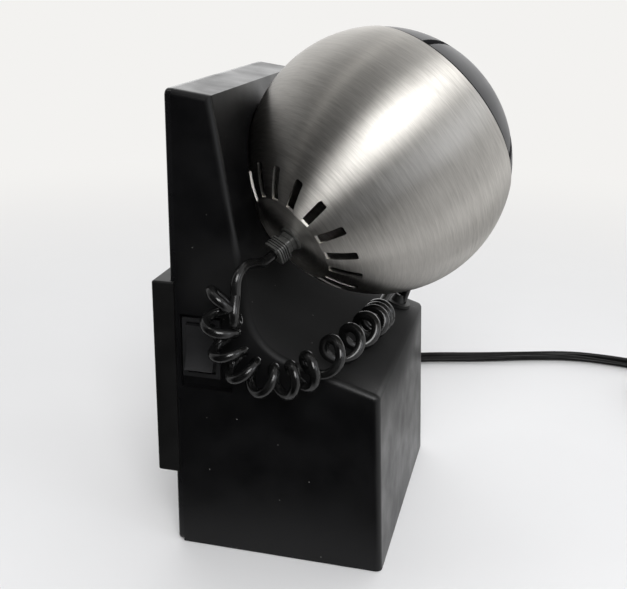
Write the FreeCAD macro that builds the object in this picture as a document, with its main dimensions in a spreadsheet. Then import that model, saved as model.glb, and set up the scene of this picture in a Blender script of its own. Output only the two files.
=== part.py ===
import FreeCAD, Part
import math
import os
import re
import Sketcher

# Table lamp with a steel ball head that a magnet holds in a dish on a moulded housing.
# Millimetres and degrees. The origin is the middle of the housing's footprint on the
# table, +X is the front, +Z is up. Every driving size is a cell of the sheet "Dims".

Vector = FreeCAD.Vector

SIZES = (
    # Moulded housing: a base box with an upright behind, open at the back.
    ("base_depth", 80.7, "housing with its back cover, front to back"),
    ("base_width", 105.5, "housing, side to side"),
    ("back_height", 175.1, "top of the back edge above the table"),
    ("top_depth", 16.4, "top face of the upright, front to back"),
    ("top_fall", 7.5, "fall of the top face towards the front, degrees"),
    ("seat_slope", 10.2, "lean of the upright's front face, degrees"),
    ("front_height", 71.3, "front face of the base"),
    ("front_draft", 2.7, "lean of the base's front face, degrees"),
    ("base_fall", 16.9, "fall of the base's top face, degrees"),
    ("root_radius", 20.0, "hollow between upright and base"),
    ("edge_radius", 2.4, "moulded outer edges"),
    ("housing_wall", 2.6, "wall of the housing"),
    ("cover_plate", 2.4, "thickness of the back cover"),
    ("floor_gap", 0.4, "housing above the table"),
    # Non-slip pad let into the bottom.
    ("pad_plate", 1.2, "thickness of the pad"),
    ("pad_inset", 6.0, "pad from the edges of the bottom"),
    ("pad_corner", 5.0, "corner radius of the pad"),
    ("pad_clearance", 0.2, "pad in its recess"),
    # Back cover and its screws.
    ("rib_plate", 1.4, "locating ribs inside the cover"),
    ("rib_height", 3.0, "locating ribs, out of the plate"),
    ("rib_clearance", 0.25, "locating ribs in the housing"),
    ("post_radius", 4.0, "screw posts of the housing"),
    ("post_inset", 3.0, "centre of a post from the inside of the side wall"),
    ("post_low", 12.5, "height of the lower screws"),
    ("post_high", 160.0, "height of the upper screws"),
    ("post_length", 14.0, "lower posts"),
    ("screw_radius", 1.4, "shank of every small screw"),
    ("screw_head", 3.0, "head radius of every small screw"),
    ("screw_cone", 1.6, "depth of a countersunk head"),
    ("cover_screw", 13.0, "length of a cover screw"),
    ("screw_clearance", 0.05, "shank in its hole"),
    # Wall bracket that hangs on two studs of the back cover.
    ("bracket_low", 31.5, "bottom of the wall bracket"),
    ("bracket_high", 107.3, "top of the wall bracket"),
    ("bracket_depth", 6.4, "wall bracket behind the cover"),
    ("bracket_wrap", 2.0, "side flanges past the back of the cover"),
    ("bracket_wall", 1.6, "rim of the wall bracket"),
    ("bracket_gap", 0.15, "side flanges beside the housing"),
    ("web_front", 2.4, "web of the bracket behind the cover"),
    ("web_plate", 2.0, "thickness of that web"),
    ("stud_spacing", 60.0, "studs, side to side"),
    ("stud_height", 84.0, "height of the studs"),
    ("stud_neck", 2.0, "radius of a stud's neck"),
    ("stud_head", 4.0, "radius of a stud's head"),
    ("stud_cap", 1.6, "thickness of a stud's head"),
    ("key_clearance", 0.15, "stud in its keyhole"),
    ("key_lift", 9.5, "keyhole's round part above its seat"),
    ("wall_hole", 2.2, "radius of the two wall screw holes"),
    ("wall_spacing", 50.0, "wall screw holes, side to side"),
    ("wall_height", 52.0, "height of the wall screw holes"),
    # Ball head.
    ("ball_radius", 50.0, "outside of the steel ball"),
    ("ball_sheet", 0.8, "thickness of the steel"),
    ("ball_sink", 7.9, "ball below the upright's front face"),
    ("seat_height", 136.7, "height at which the seat's axis meets that face"),
    ("rim_angle", 61.6, "open rim of the ball from its front axis, degrees"),
    ("flat_radius", 18.1, "flat back of the ball"),
    ("aim_turn", 50.8, "front axis of the ball about the vertical, degrees"),
    ("aim_polar", 59.4, "front axis of the ball from the vertical, degrees"),
    ("ball_spin", -81.5, "ball about its own axis, degrees"),
    ("slot_count", 16, "vent slots round the flat back"),
    ("slot_width", 3.3, "vent slot"),
    ("slot_start", 18.5, "inner end of a slot from the ball's axis"),
    ("slot_reach", 29.4, "outer end of a slot from the ball's axis"),
    ("slot_corner", 0.8, "rounded corners of a slot's outer end"),
    ("cord_hole", 3.6, "hole in the flat back"),
    # Black front of the ball.
    ("bezel_step", 0.3, "domed front below the ball's own sphere"),
    ("bezel_wall", 2.0, "its wall"),
    ("bezel_angle", 61.2, "outer edge of the dome from the axis, degrees"),
    ("edge_band", 0.4, "plain edge of the dome behind the notches"),
    ("bezel_fit", 0.4, "skirt inside the steel rim"),
    ("skirt_wall", 1.6, "skirt of the dome"),
    ("skirt_back", 15.0, "rear end of the skirt on the ball's axis"),
    ("mouth_radius", 21.5, "opening in the dome"),
    ("notch_count", 5, "notches round the dome's edge"),
    ("notch_width", 3.2, "notch"),
    ("notch_inner", 32.5, "inner end of a notch from the axis"),
    ("bezel_turn", 1.6, "dome on the ball, about the axis, degrees"),
    ("baffle_fit", 0.3, "glare ring in the opening"),
    ("baffle_back", 22.8, "rear end of the glare ring"),
    ("baffle_drop", 0.8, "glare ring behind the opening's edge"),
    ("baffle_wall", 1.0, "glare ring at its first step"),
    ("step_count", 5, "steps inside the glare ring"),
    ("step_depth", 0.6, "one step of the glare ring"),
    # Lamp inside the ball.
    ("mirror_plate", 0.8, "reflector sheet"),
    ("mirror_mouth", 18.5, "reflector, open end"),
    ("mirror_neck", 8.4, "reflector, small end"),
    ("mirror_back", -2.0, "small end on the ball's axis"),
    ("mirror_curve", 34.0, "profile of the reflector"),
    ("globe_radius", 7.2, "glass of the bulb"),
    ("globe_place", 8.0, "centre of the glass on the axis"),
    ("cap_radius", 7.0, "metal cap of the bulb"),
    ("cap_front", 0.5, "front of that cap"),
    ("cap_back", -18.0, "rear of that cap"),
    ("holder_radius", 10.0, "lamp holder"),
    ("holder_front", -6.0, "front of the lamp holder"),
    ("holder_back", -24.0, "rear of the lamp holder"),
    ("holder_fit", 0.1, "bulb cap in the lamp holder"),
    ("spider_plate", 1.0, "sheet of the lamp carrier"),
    ("spider_seat", -13.0, "carrier's ring on the ball's axis"),
    ("arm_count", 3, "arms of the carrier"),
    ("arm_window", 42.0, "half a window between two arms, degrees"),
    # Strain relief in the flat back of the ball.
    ("relief_flange", 5.0, "flange radius"),
    ("relief_inner", 3.0, "plain part next to the flange"),
    ("relief_outer", 4.1, "ribbed end"),
    ("relief_length", 9.2, "bushing, out of the flat back"),
    ("relief_nut", 6.2, "lock nut radius"),
    # Magnet seat.
    ("dish_gap", 0.6, "dish outside the ball"),
    ("cup_radius", 12.5, "steel pole cup"),
    ("cup_wall", 1.6, "wall and floor of the pole cup"),
    ("cup_drop", 1.2, "pole cup below the ball's surface"),
    ("cup_height", 6.0, "pole cup"),
    ("cup_clearance", 0.1, "pole cup in the housing"),
    ("magnet_radius", 7.4, "magnet"),
    ("ring_inner", 7.8, "nylon seat ring, inside"),
    ("ring_outer", 10.85, "nylon seat ring, outside"),
    ("ring_gap", 0.3, "seat ring below the ball"),
    # Rocker switch in the near side.
    ("recess_margin", 1.0, "recess from the back cover"),
    ("recess_width", 19.6, "recess, front to back"),
    ("recess_height", 28.5, "recess, up and down"),
    ("recess_middle", 80.8, "height of the recess's middle"),
    ("recess_depth", 2.4, "recess"),
    ("recess_floor", 2.0, "wall behind the recess"),
    ("rocker_back", 8.4, "middle of the rocker from the back cover"),
    ("rocker_height", 82.0, "height of the rocker's pin"),
    ("rocker_depth", 4.0, "pin below the side face"),
    ("rocker_width", 10.6, "rocker along its pin"),
    ("rocker_tilt", 8.0, "rocker either way, degrees"),
    ("rocker_reach", 8.4, "half the rocker's face"),
    ("rocker_face", 5.2, "corners of the face above the pin"),
    ("rocker_hollow", 22.9, "radius of the hollow face"),
    ("rocker_swing", 1.35, "switch walls past the ends of the face"),
    ("rocker_side", 0.15, "rocker beside the switch walls"),
    ("pin_radius", 0.9, "pin of the rocker"),
    ("pin_clearance", 0.05, "pin in the rocker and in its seat"),
    ("switch_wall", 0.9, "wall of the switch"),
    ("switch_depth", 12.0, "switch behind its flange"),
    ("switch_flange", 1.0, "flange of the switch"),
    ("flange_lip", 0.85, "flange past the body of the switch"),
    ("switch_fit", 0.1, "switch in the housing"),
    ("blade_width", 4.8, "terminal blade"),
    ("blade_plate", 0.8, "thickness of a terminal blade"),
    ("blade_length", 8.0, "terminal blade"),
    ("blade_spacing", 10.0, "terminal blades apart"),
    # Transformer in the base.
    ("core_width", 60.0, "laminated core, side to side"),
    ("core_height", 50.0, "laminated core"),
    ("core_stack", 22.0, "laminated core, front to back"),
    ("core_leg", 10.0, "outer legs and yokes; the middle leg is twice that"),
    ("core_place", 0.0, "middle of the core from the middle of the base"),
    ("coil_clearance", 0.3, "winding in the core's windows"),
    ("coil_corner", 5.0, "corner radius of the winding"),
    ("clamp_plate", 1.0, "steel strap over the core"),
    ("clamp_width", 14.0, "steel strap"),
    ("clamp_gap", 0.1, "strap beside the core"),
    ("boss_height", 6.0, "bosses under the strap's feet"),
    ("boss_radius", 4.5, "bosses under the strap's feet"),
    ("boss_place", 37.5, "bosses from the middle of the base"),
    ("foot_reach", 12.0, "strap's feet"),
    ("clamp_screw", 5.5, "length of a strap screw"),
    # Curly cord between housing and ball.
    ("wire_radius", 1.4, "curly cord's wire"),
    ("curl_radius", 6.3, "outside of the curls"),
    ("wire_clearance", 0.05, "wire in its bushings"),
    ("gland_x", 27.6, "curly cord's gland, forward of the middle"),
    ("gland_y", 40.0, "curly cord's gland, to the far side"),
    ("gland_flange", 5.5, "gland's flange radius"),
    ("gland_neck", 3.8, "gland in the housing"),
    ("gland_snout", 5.0, "gland above the base's top"),
    # Mains cord.
    ("mains_radius", 3.0, "mains cord"),
    ("mains_x", -14.0, "mains bushing, forward of the middle"),
    ("mains_z", 14.0, "height of the mains bushing"),
    ("bushing_flange", 7.5, "mains bushing, flange radius"),
    ("bushing_neck", 5.4, "mains bushing in the housing"),
    ("bushing_tip", 4.0, "mains bushing, tip radius"),
    ("bushing_length", 24.0, "mains bushing, out of the housing"),
    ("bushing_ribs", 5, "grooves of the mains bushing"),
    ("rib_groove", 0.8, "depth of a groove"),
    ("coil_x", 193.0, "middle of the spare coil, forward"),
    ("coil_y", 128.0, "middle of the spare coil, to the far side"),
    ("coil_inner", 26.0, "spare coil, inside"),
    ("coil_outer", 45.0, "spare coil, outside"),
    ("coil_height", 13.0, "spare coil"),
    # Plug.
    ("plug_x", 228.0, "plug, forward of the middle"),
    ("plug_y", 86.0, "rear end of the plug"),
    ("plug_width", 34.0, "plug across its pins"),
    ("plug_neck", 13.0, "plug at its rear end"),
    ("plug_length", 36.0, "plug without its pins"),
    ("plug_height", 13.6, "plug, thickness"),
    ("prong_radius", 2.0, "plug pin"),
    ("prong_length", 19.0, "plug pin"),
    ("prong_spacing", 18.6, "plug pins apart"),
)
ALIASES = {name for name, size, meaning in SIZES}

doc = FreeCAD.newDocument("BallLamp")
sheet = doc.addObject("Spreadsheet::Sheet", "Dims")
for row, (name, size, meaning) in enumerate(SIZES, 1):
    sheet.set(f"A{row}", name)
    sheet.set(f"B{row}", str(size))
    sheet.set(f"C{row}", meaning)
    sheet.setAlias(f"B{row}", name)
doc.recompute()


# ---------------------------------------------------------------- expressions

def ref(text):
    """The expression with each alias written as a reference to the sheet."""
    return re.sub(r"[a-z][a-z_]+", lambda m: "Dims." + m[0] if m[0] in ALIASES else m[0], text)


def number(text):
    """The value of an expression over the sheet."""
    value = sheet.evalExpression(ref(text))
    return float(getattr(value, "Value", value))


def tan(angle):
    return f"tan({angle} * 1deg)"


def cos(angle):
    return f"cos({angle} * 1deg)"


def sin(angle):
    return f"sin({angle} * 1deg)"


# Planes of the housing. A face that leans is X = x0 - slope * Z or Z = z0 - slope * X.
BACK = "(-base_depth / 2)"
OPEN_FACE = "(-base_depth / 2 + cover_plate)"
NEAR_SIDE = "(-base_width / 2)"
FAR_SIDE = "(base_width / 2)"
FLOOR = "(floor_gap + housing_wall)"


def front_x0(inset="0"):
    return f"(base_depth / 2 - ({inset}) / {cos('front_draft')})"


def base_z0(inset="0"):
    run = f"(base_depth / 2 - {tan('front_draft')} * front_height)"
    return f"(front_height + {tan('base_fall')} * {run} - ({inset}) / {cos('base_fall')})"


def top_z0(inset="0"):
    return f"(back_height - {tan('top_fall')} * base_depth / 2 - ({inset}) / {cos('top_fall')})"


TOP_FRONT_X = "(-base_depth / 2 + top_depth)"
TOP_FRONT_Z = f"(back_height - {tan('top_fall')} * top_depth)"


def seat_x0(inset="0"):
    return f"({TOP_FRONT_X} + {tan('seat_slope')} * {TOP_FRONT_Z} - ({inset}) / {cos('seat_slope')})"


def crossing(x0, x_slope, z0, z_slope):
    """Where X = x0 - x_slope * Z meets Z = z0 - z_slope * X."""
    x = f"(({x0} - {x_slope} * {z0}) / (1 - {x_slope} * {z_slope}))"
    return x, f"({z0} - {z_slope} * {x})"


RIM_INSIDE = f"((ball_radius - ball_sheet) * {sin('rim_angle')})"
SEAT_X = f"({seat_x0()} - {tan('seat_slope')} * seat_height)"
BALL_X = f"({SEAT_X} + (ball_radius - ball_sink) * {cos('seat_slope')})"
BALL_Z = f"(seat_height + (ball_radius - ball_sink) * {sin('seat_slope')})"
GLAND_Z = f"({base_z0()} - {tan('base_fall')} * gland_x)"
ROCKER_X = f"({OPEN_FACE} + rocker_back)"
PIN_Y = f"({NEAR_SIDE} + rocker_depth)"
POST_Y = "(base_width / 2 - housing_wall - post_inset)"
CORE_TOP = f"({FLOOR} + core_height)"
FLAT_Z = "(-sqrt(ball_radius ^ 2 - flat_radius ^ 2))"
DOME = "(ball_radius - bezel_step)"
DOME_MOUTH = f"sqrt({DOME} ^ 2 - mouth_radius ^ 2)"
SWITCH_HALF_X = "(rocker_width / 2 + rocker_side + switch_wall)"
SWITCH_HALF_Z = "(rocker_reach + rocker_swing + switch_wall)"


def place(x, y, z, yaw="0", pitch="0", roll="0", spin="0"):
    """A placement's expression: turned by spin about its own Z first, then rolled, pitched, yawed."""
    return f"placement(vector({x}; {y}; {z}); rotation({yaw}; {pitch}; {roll}) * rotation({spin}; 0; 0))"


# +Z of a piece in the ball runs forwards along its axis, from the ball's centre.
IN_BALL = place(BALL_X, "0", BALL_Z, yaw="aim_turn", pitch="aim_polar", spin="ball_spin")
IN_MOUTH = place(BALL_X, "0", BALL_Z, yaw="aim_turn", pitch="aim_polar", spin="(ball_spin + bezel_turn)")
# +Z of a piece in the seat runs out of the dish, from the ball's centre.
IN_SEAT = place(BALL_X, "0", BALL_Z, pitch="90 - seat_slope")
ON_BASE_TOP = place("gland_x", "gland_y", GLAND_Z, pitch="base_fall")
OUT_OF_FAR_SIDE = place("mains_x", FAR_SIDE, "mains_z", roll="-90")


# ---------------------------------------------------------------- features

def new_body(label, placement=None):
    body = doc.addObject("PartDesign::Body", label)
    body.Label = label
    if placement:
        body.setExpression("Placement", ref(placement))
    return body


def pin_point(sketch, item, end, x, y):
    """Ties a point of the sketch to a place given by two expressions."""
    for kind, axis, text in (("DistanceX", -2, x), ("DistanceY", -1, y)):
        if text == "0":
            sketch.addConstraint(Sketcher.Constraint("PointOnObject", item, end, axis))
            continue
        index = sketch.addConstraint(Sketcher.Constraint(kind, -1, 1, item, end, number(text)))
        sketch.setExpression(f"Constraints[{index}]", ref(text))


def arc_between(start, end, radius, turn):
    """The short arc from start to end. Turn is 1 for counter-clockwise, -1 for clockwise."""
    chord = end - start
    rise = math.sqrt(max(radius ** 2 - (chord.Length / 2) ** 2, 0.0))
    left = Vector(-chord.y, chord.x, 0).normalize()
    centre = (start + end) * 0.5 + left * (rise * turn)
    first, last = (start, end) if turn > 0 else (end, start)
    angles = [math.atan2(p.y - centre.y, p.x - centre.x) for p in (first, last)]
    if angles[1] < angles[0]:
        angles[1] += 2 * math.pi
    circle = Part.Circle(centre, Vector(0, 0, 1), radius)
    return Part.ArcOfCircle(circle, angles[0], angles[1])


def draw_loop(sketch, corners):
    """A closed outline. A corner is (x, y), or (x, y, radius, turn) where an arc arrives at it."""
    first = sketch.GeometryCount
    count = len(corners)
    points = [Vector(number(corner[0]), number(corner[1]), 0) for corner in corners]
    ends = []
    for i in range(count):
        j = (i + 1) % count
        if len(corners[j]) == 2:
            sketch.addGeometry(Part.LineSegment(points[i], points[j]), False)
            ends.append((1, 2))
            continue
        radius, turn = corners[j][2:]
        item = sketch.addGeometry(arc_between(points[i], points[j], number(radius), turn), False)
        index = sketch.addConstraint(Sketcher.Constraint("Radius", item, number(radius)))
        sketch.setExpression(f"Constraints[{index}]", ref(radius))
        ends.append((1, 2) if turn > 0 else (2, 1))
    for i in range(count):
        j = (i + 1) % count
        joint = (first + i, ends[i][1], first + j, ends[j][0])
        sketch.addConstraint(Sketcher.Constraint("Coincident", *joint))
        pin_point(sketch, first + i, ends[i][0], corners[i][0], corners[i][1])


def draw_circle(sketch, x, y, radius):
    centre = Vector(number(x), number(y), 0)
    item = sketch.addGeometry(Part.Circle(centre, Vector(0, 0, 1), number(radius)), False)
    pin_point(sketch, item, 3, x, y)
    index = sketch.addConstraint(Sketcher.Constraint("Radius", item, number(radius)))
    sketch.setExpression(f"Constraints[{index}]", ref(radius))


def rectangle(x0, y0, x1, y1):
    return [(x0, y0), (x1, y0), (x1, y1), (x0, y1)]


def new_sketch(body, plane, level, loops):
    """A sketch on a plane of the body. Level is along the world axis that the plane faces."""
    origin = next(f for f in body.Origin.OriginFeatures if f.Role == plane + "_Plane")
    sketch = body.newObject("Sketcher::SketchObject", "Sketch")
    sketch.AttachmentSupport = [(origin, "")]
    sketch.MapMode = "FlatFace"
    # The XZ plane's own normal is -Y.
    along_normal = f"-({level})" if plane == "XZ" else level
    sketch.setExpression("AttachmentOffset.Base.z", ref(along_normal))
    for loop in loops:
        if loop[0] == "circle":
            draw_circle(sketch, *loop[1:])
        else:
            draw_loop(sketch, loop)
    return sketch


def check_change(body, before, grows, what):
    doc.recompute()
    change = body.Shape.Volume - before
    if (change > 0) != grows or abs(change) < 0.01:
        raise ValueError(f"{what} of {body.Label} changed its volume by {change:.3f}")


def volume_of(body):
    return body.Shape.Volume if body.Tip else 0.0


def extrude(body, plane, level, length, toward, loops, cut=False, tell=""):
    """A pad or pocket. Toward is 1 or -1 along the world axis, or 0 for half each way."""
    before = volume_of(body)
    sketch = new_sketch(body, plane, level, loops)
    feature = body.newObject("PartDesign::Pocket" if cut else "PartDesign::Pad", "Cut" if cut else "Pad")
    feature.Profile = sketch
    along_normal = -toward if plane == "XZ" else toward
    if toward == 0:
        feature.SideType = "Symmetric"
    elif cut:
        feature.Reversed = along_normal > 0
    else:
        feature.Reversed = along_normal < 0
    feature.setExpression("Length", ref(length))
    check_change(body, before, not cut, tell or feature.Name)
    return feature


def pad(body, plane, level, length, toward, loops):
    return extrude(body, plane, level, length, toward, loops)


def pocket(body, plane, level, length, toward, loops):
    return extrude(body, plane, level, length, toward, loops, cut=True)


def revolve(body, loops, cut=False, offset=None):
    """Turns outlines in the XZ plane about its upright axis, or about offset's (x, z, angle)."""
    before = volume_of(body)
    sketch = new_sketch(body, "XZ", "0", loops)
    if offset:
        sketch.AttachmentOffset = FreeCAD.Placement(Vector(), FreeCAD.Rotation(Vector(0, 0, 1), 0))
        sketch.setExpression("AttachmentOffset.Base.x", ref(offset[0]))
        sketch.setExpression("AttachmentOffset.Base.y", ref(offset[1]))
        sketch.setExpression("AttachmentOffset.Rotation.Angle", ref(offset[2]))
    feature = body.newObject("PartDesign::Groove" if cut else "PartDesign::Revolution", "Turn")
    feature.Profile = sketch
    feature.ReferenceAxis = (sketch, ["V_Axis"])
    feature.Angle = 360
    check_change(body, before, not cut, feature.Name)
    return feature


def repeat_round(body, feature, count):
    """Repeats a feature about the upright axis of its own body."""
    before = body.Shape.Volume
    pattern = body.newObject("PartDesign::PolarPattern", "Round")
    pattern.Originals = [feature]
    pattern.Axis = (feature.Profile[0], ["N_Axis"])
    pattern.Angle = 360
    pattern.setExpression("Occurrences", ref(count))
    body.Tip = pattern
    grows = feature.TypeId == "PartDesign::Pad"
    check_change(body, before, grows, "pattern")
    return pattern


def dress(body, kind, size, test):
    """A fillet or chamfer on each edge of the body's last feature that passes the test."""
    base = body.Tip
    names = [f"Edge{i}" for i, edge in enumerate(base.Shape.Edges, 1) if test(edge)]
    if not names:
        raise ValueError(f"no edge of {body.Label} to dress")
    feature = body.newObject("PartDesign::" + kind, kind)
    feature.Base = (base, names)
    feature.setExpression("Radius" if kind == "Fillet" else "Size", ref(size))
    doc.recompute()
    return feature


def edge_box(edge):
    box = edge.BoundBox
    return box.XMin, box.XMax, box.YMin, box.YMax, box.ZMin, box.ZMax


NEAR = 0.01


def lies_at(edge, axis, value):
    """Whether the whole edge lies in the plane where that axis has that value."""
    box = edge_box(edge)
    low, high = box[2 * axis], box[2 * axis + 1]
    return abs(low - value) < NEAR and abs(high - value) < NEAR


def runs_along(edge, axis):
    """Whether the edge is straight and parallel to that axis."""
    box = edge_box(edge)
    return all(box[2 * k + 1] - box[2 * k] < NEAR for k in range(3) if k != axis)


def turned_piece(label, placement, *loops):
    body = new_body(label, placement)
    for loop in loops:
        revolve(body, [loop])
    return body


def cylinder(name, radius, height, placement):
    solid = doc.addObject("Part::Cylinder", name)
    solid.setExpression("Radius", ref(radius))
    solid.setExpression("Height", ref(height))
    solid.setExpression("Placement", ref(placement))
    return solid


def fused(name, shapes):
    fuse = doc.addObject("Part::MultiFuse", name)
    fuse.Shapes = shapes
    return fuse


def group(label, members):
    """One node of several separate solids."""
    compound = doc.addObject("Part::Compound", label)
    compound.Label = label
    compound.Links = members
    return compound


def screw(name, length, x, y, z, yaw="0", pitch="0"):
    """A countersunk screw whose head starts at the given place and whose shank runs along +Z."""
    where = place(x, y, z, yaw=yaw, pitch=pitch)
    head = doc.addObject("Part::Cone", name + "_head")
    head.setExpression("Radius1", ref("screw_head"))
    head.setExpression("Radius2", ref("screw_radius"))
    head.setExpression("Height", ref("screw_cone"))
    head.setExpression("Placement", ref(where))
    shank = cylinder(name + "_shank", "screw_radius", length, where)
    return fused(name, [head, shank])


# ---------------------------------------------------------------- housing

def housing_outline(inset, open_x):
    """Side view of the housing, drawn in by inset all round and open at the back."""
    bottom = f"(floor_gap + {inset})"
    front = (front_x0(inset), tan("front_draft"))
    base = (base_z0(inset), tan("base_fall"))
    seat = (seat_x0(inset), tan("seat_slope"))
    top = (top_z0(inset), tan("top_fall"))
    return [
        (open_x, bottom),
        (f"({front[0]} - {front[1]} * {bottom})", bottom),
        crossing(*front, *base),
        crossing(*seat, *base),
        crossing(*seat, *top),
        (open_x, f"({top[0]} - {top[1]} * {open_x})"),
    ]


def make_housing():
    """The moulded shell, with the dish that the ball sits in as its seat."""
    body = new_body("housing")
    pad(body, "XZ", "0", "base_width", 0, [housing_outline("0", OPEN_FACE)])
    corner = [number(text) for text in housing_outline("0", OPEN_FACE)[3]]
    dress(body, "Fillet", "root_radius", lambda e: runs_along(e, 1) and lies_at(e, 0, corner[0]))
    back = number(OPEN_FACE)
    low_front = number("floor_gap")
    dress(body, "Fillet", "edge_radius", lambda e: not lies_at(e, 0, back)
          and not (runs_along(e, 1) and min(abs(e.BoundBox.XMin - back), 99) < NEAR)
          and not lies_at(e, 2, low_front)
          and (lies_at(e, 1, number(NEAR_SIDE)) or lies_at(e, 1, number(FAR_SIDE))
               or sharp_cross_edge(e, corner[0])))
    pocket(body, "XZ", "0", "(base_width - 2 * housing_wall)", 0,
           [housing_outline("housing_wall", f"({OPEN_FACE} - 1)")])
    make_dish(body)
    make_switch_recess(body)
    make_posts(body)
    make_bottom(body)
    make_cord_holes(body)
    return body


def sharp_cross_edge(edge, hollow_x):
    """An outer edge that runs from side to side, away from the hollow between upright and base."""
    width = number("base_width")
    full = runs_along(edge, 1) and abs(edge.Length - width) < NEAR
    near_hollow = abs(edge.BoundBox.XMin - hollow_x) < number("root_radius")
    return full and not near_hollow


def make_dish(body):
    """Adds the wall of the dish and the pocket for the pole cup behind it, then hollows both."""
    offset = (BALL_X, BALL_Z, "seat_slope - 90")
    mid_wall = "(-(ball_radius - ball_sink) - housing_wall / 2)"
    outer = "(ball_radius + dish_gap + housing_wall)"
    shoulder = "(cup_radius + cup_clearance + 2)"
    cup_floor = "(ball_radius + cup_drop + cup_height)"
    boss_back = f"(-{cup_floor} - 2)"
    revolve(body, [[
        ("0", mid_wall),
        (f"sqrt({outer} ^ 2 - {mid_wall} ^ 2)", mid_wall),
        (shoulder, f"-sqrt({outer} ^ 2 - {shoulder} ^ 2)", outer, -1),
        (shoulder, boss_back),
        ("0", boss_back),
    ]], offset=offset)
    past_face = "(-(ball_radius - ball_sink) + 3)"
    dish = "(ball_radius + dish_gap)"
    bore = "(cup_radius + cup_clearance)"
    revolve(body, [[
        ("0", past_face),
        (f"sqrt({dish} ^ 2 - {past_face} ^ 2)", past_face),
        (bore, f"-sqrt({dish} ^ 2 - {bore} ^ 2)", dish, -1),
        (bore, f"-{cup_floor}"),
        ("0", f"-{cup_floor}"),
    ]], cut=True, offset=offset)


def make_switch_recess(body):
    """The stepped recess in the near side with the opening that the switch plugs into."""
    left = f"({OPEN_FACE} + recess_margin)"
    right = f"({left} + recess_width)"
    low = "(recess_middle - recess_height / 2)"
    high = "(recess_middle + recess_height / 2)"
    behind = "(recess_depth + recess_floor)"
    inside = f"({NEAR_SIDE} + housing_wall - 0.5)"
    pad(body, "XZ", inside, f"({behind} - housing_wall + 0.5)", 1,
        [rectangle(OPEN_FACE, f"({low} - 2)", f"({right} + 2)", f"({high} + 2)")])
    pocket(body, "XZ", f"({NEAR_SIDE} - 1)", "(recess_depth + 1)", 1,
           [rectangle(left, low, right, high)])
    half_x = f"({SWITCH_HALF_X} + switch_fit)"
    half_z = f"({SWITCH_HALF_Z} + switch_fit)"
    pocket(body, "XZ", f"({NEAR_SIDE} - 1)", f"({behind} + 2)", 1, [rectangle(
        f"({ROCKER_X} - {half_x})", f"(rocker_height - {half_z})",
        f"({ROCKER_X} + {half_x})", f"(rocker_height + {half_z})")])


def make_posts(body):
    """Four posts for the cover's screws."""
    low = [("circle", y, "post_low", "post_radius") for y in (POST_Y, f"-{POST_Y}")]
    pad(body, "YZ", OPEN_FACE, "post_length", 1, low)
    reach = f"({seat_x0('housing_wall')} - {tan('seat_slope')} * post_high + 1 - {OPEN_FACE})"
    high = [("circle", y, "post_high", "post_radius") for y in (POST_Y, f"-{POST_Y}")]
    pad(body, "YZ", OPEN_FACE, reach, 1, high)
    pilots = [("circle", y, z, "(screw_radius + screw_clearance)")
              for y in (POST_Y, f"-{POST_Y}") for z in ("post_low", "post_high")]
    pocket(body, "YZ", OPEN_FACE, "(cover_screw - cover_plate + 1)", 1, pilots)


def make_bottom(body):
    """The recess for the pad, and the bosses that the transformer's strap stands on."""
    recess_x = "(base_depth / 2 - pad_inset + pad_clearance)"
    recess_y = "(base_width / 2 - pad_inset + pad_clearance)"
    pocket(body, "XY", "0", "pad_plate", 1, [rectangle(
        f"(-{recess_x} + cover_plate)", f"-{recess_y}", recess_x, recess_y)])
    places = ("boss_place", "-boss_place")
    pad(body, "XY", f"({FLOOR} - 0.5)", "(boss_height + 0.5)", 1,
        [("circle", "core_place", y, "boss_radius") for y in places])
    pocket(body, "XY", f"({FLOOR} + boss_height)", "(clamp_screw + 0.5)", -1,
           [("circle", "core_place", y, "(screw_radius + screw_clearance)") for y in places])


def make_cord_holes(body):
    """The hole in the base's top for the curly cord, and the one in the far side for the mains."""
    before = body.Shape.Volume
    sketch = new_sketch(body, "XY", "0", [("circle", "0", "0", "(gland_neck + 0.1)")])
    sketch.setExpression("AttachmentOffset", ref(ON_BASE_TOP))
    feature = body.newObject("PartDesign::Pocket", "GlandHole")
    feature.Profile = sketch
    feature.setExpression("Length", ref("(housing_wall * 2)"))
    check_change(body, before, False, "gland hole")
    pocket(body, "XZ", f"({FAR_SIDE} + 1)", "(housing_wall + 2)", -1,
           [("circle", "mains_x", "mains_z", "(bushing_neck + 0.1)")])


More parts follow.
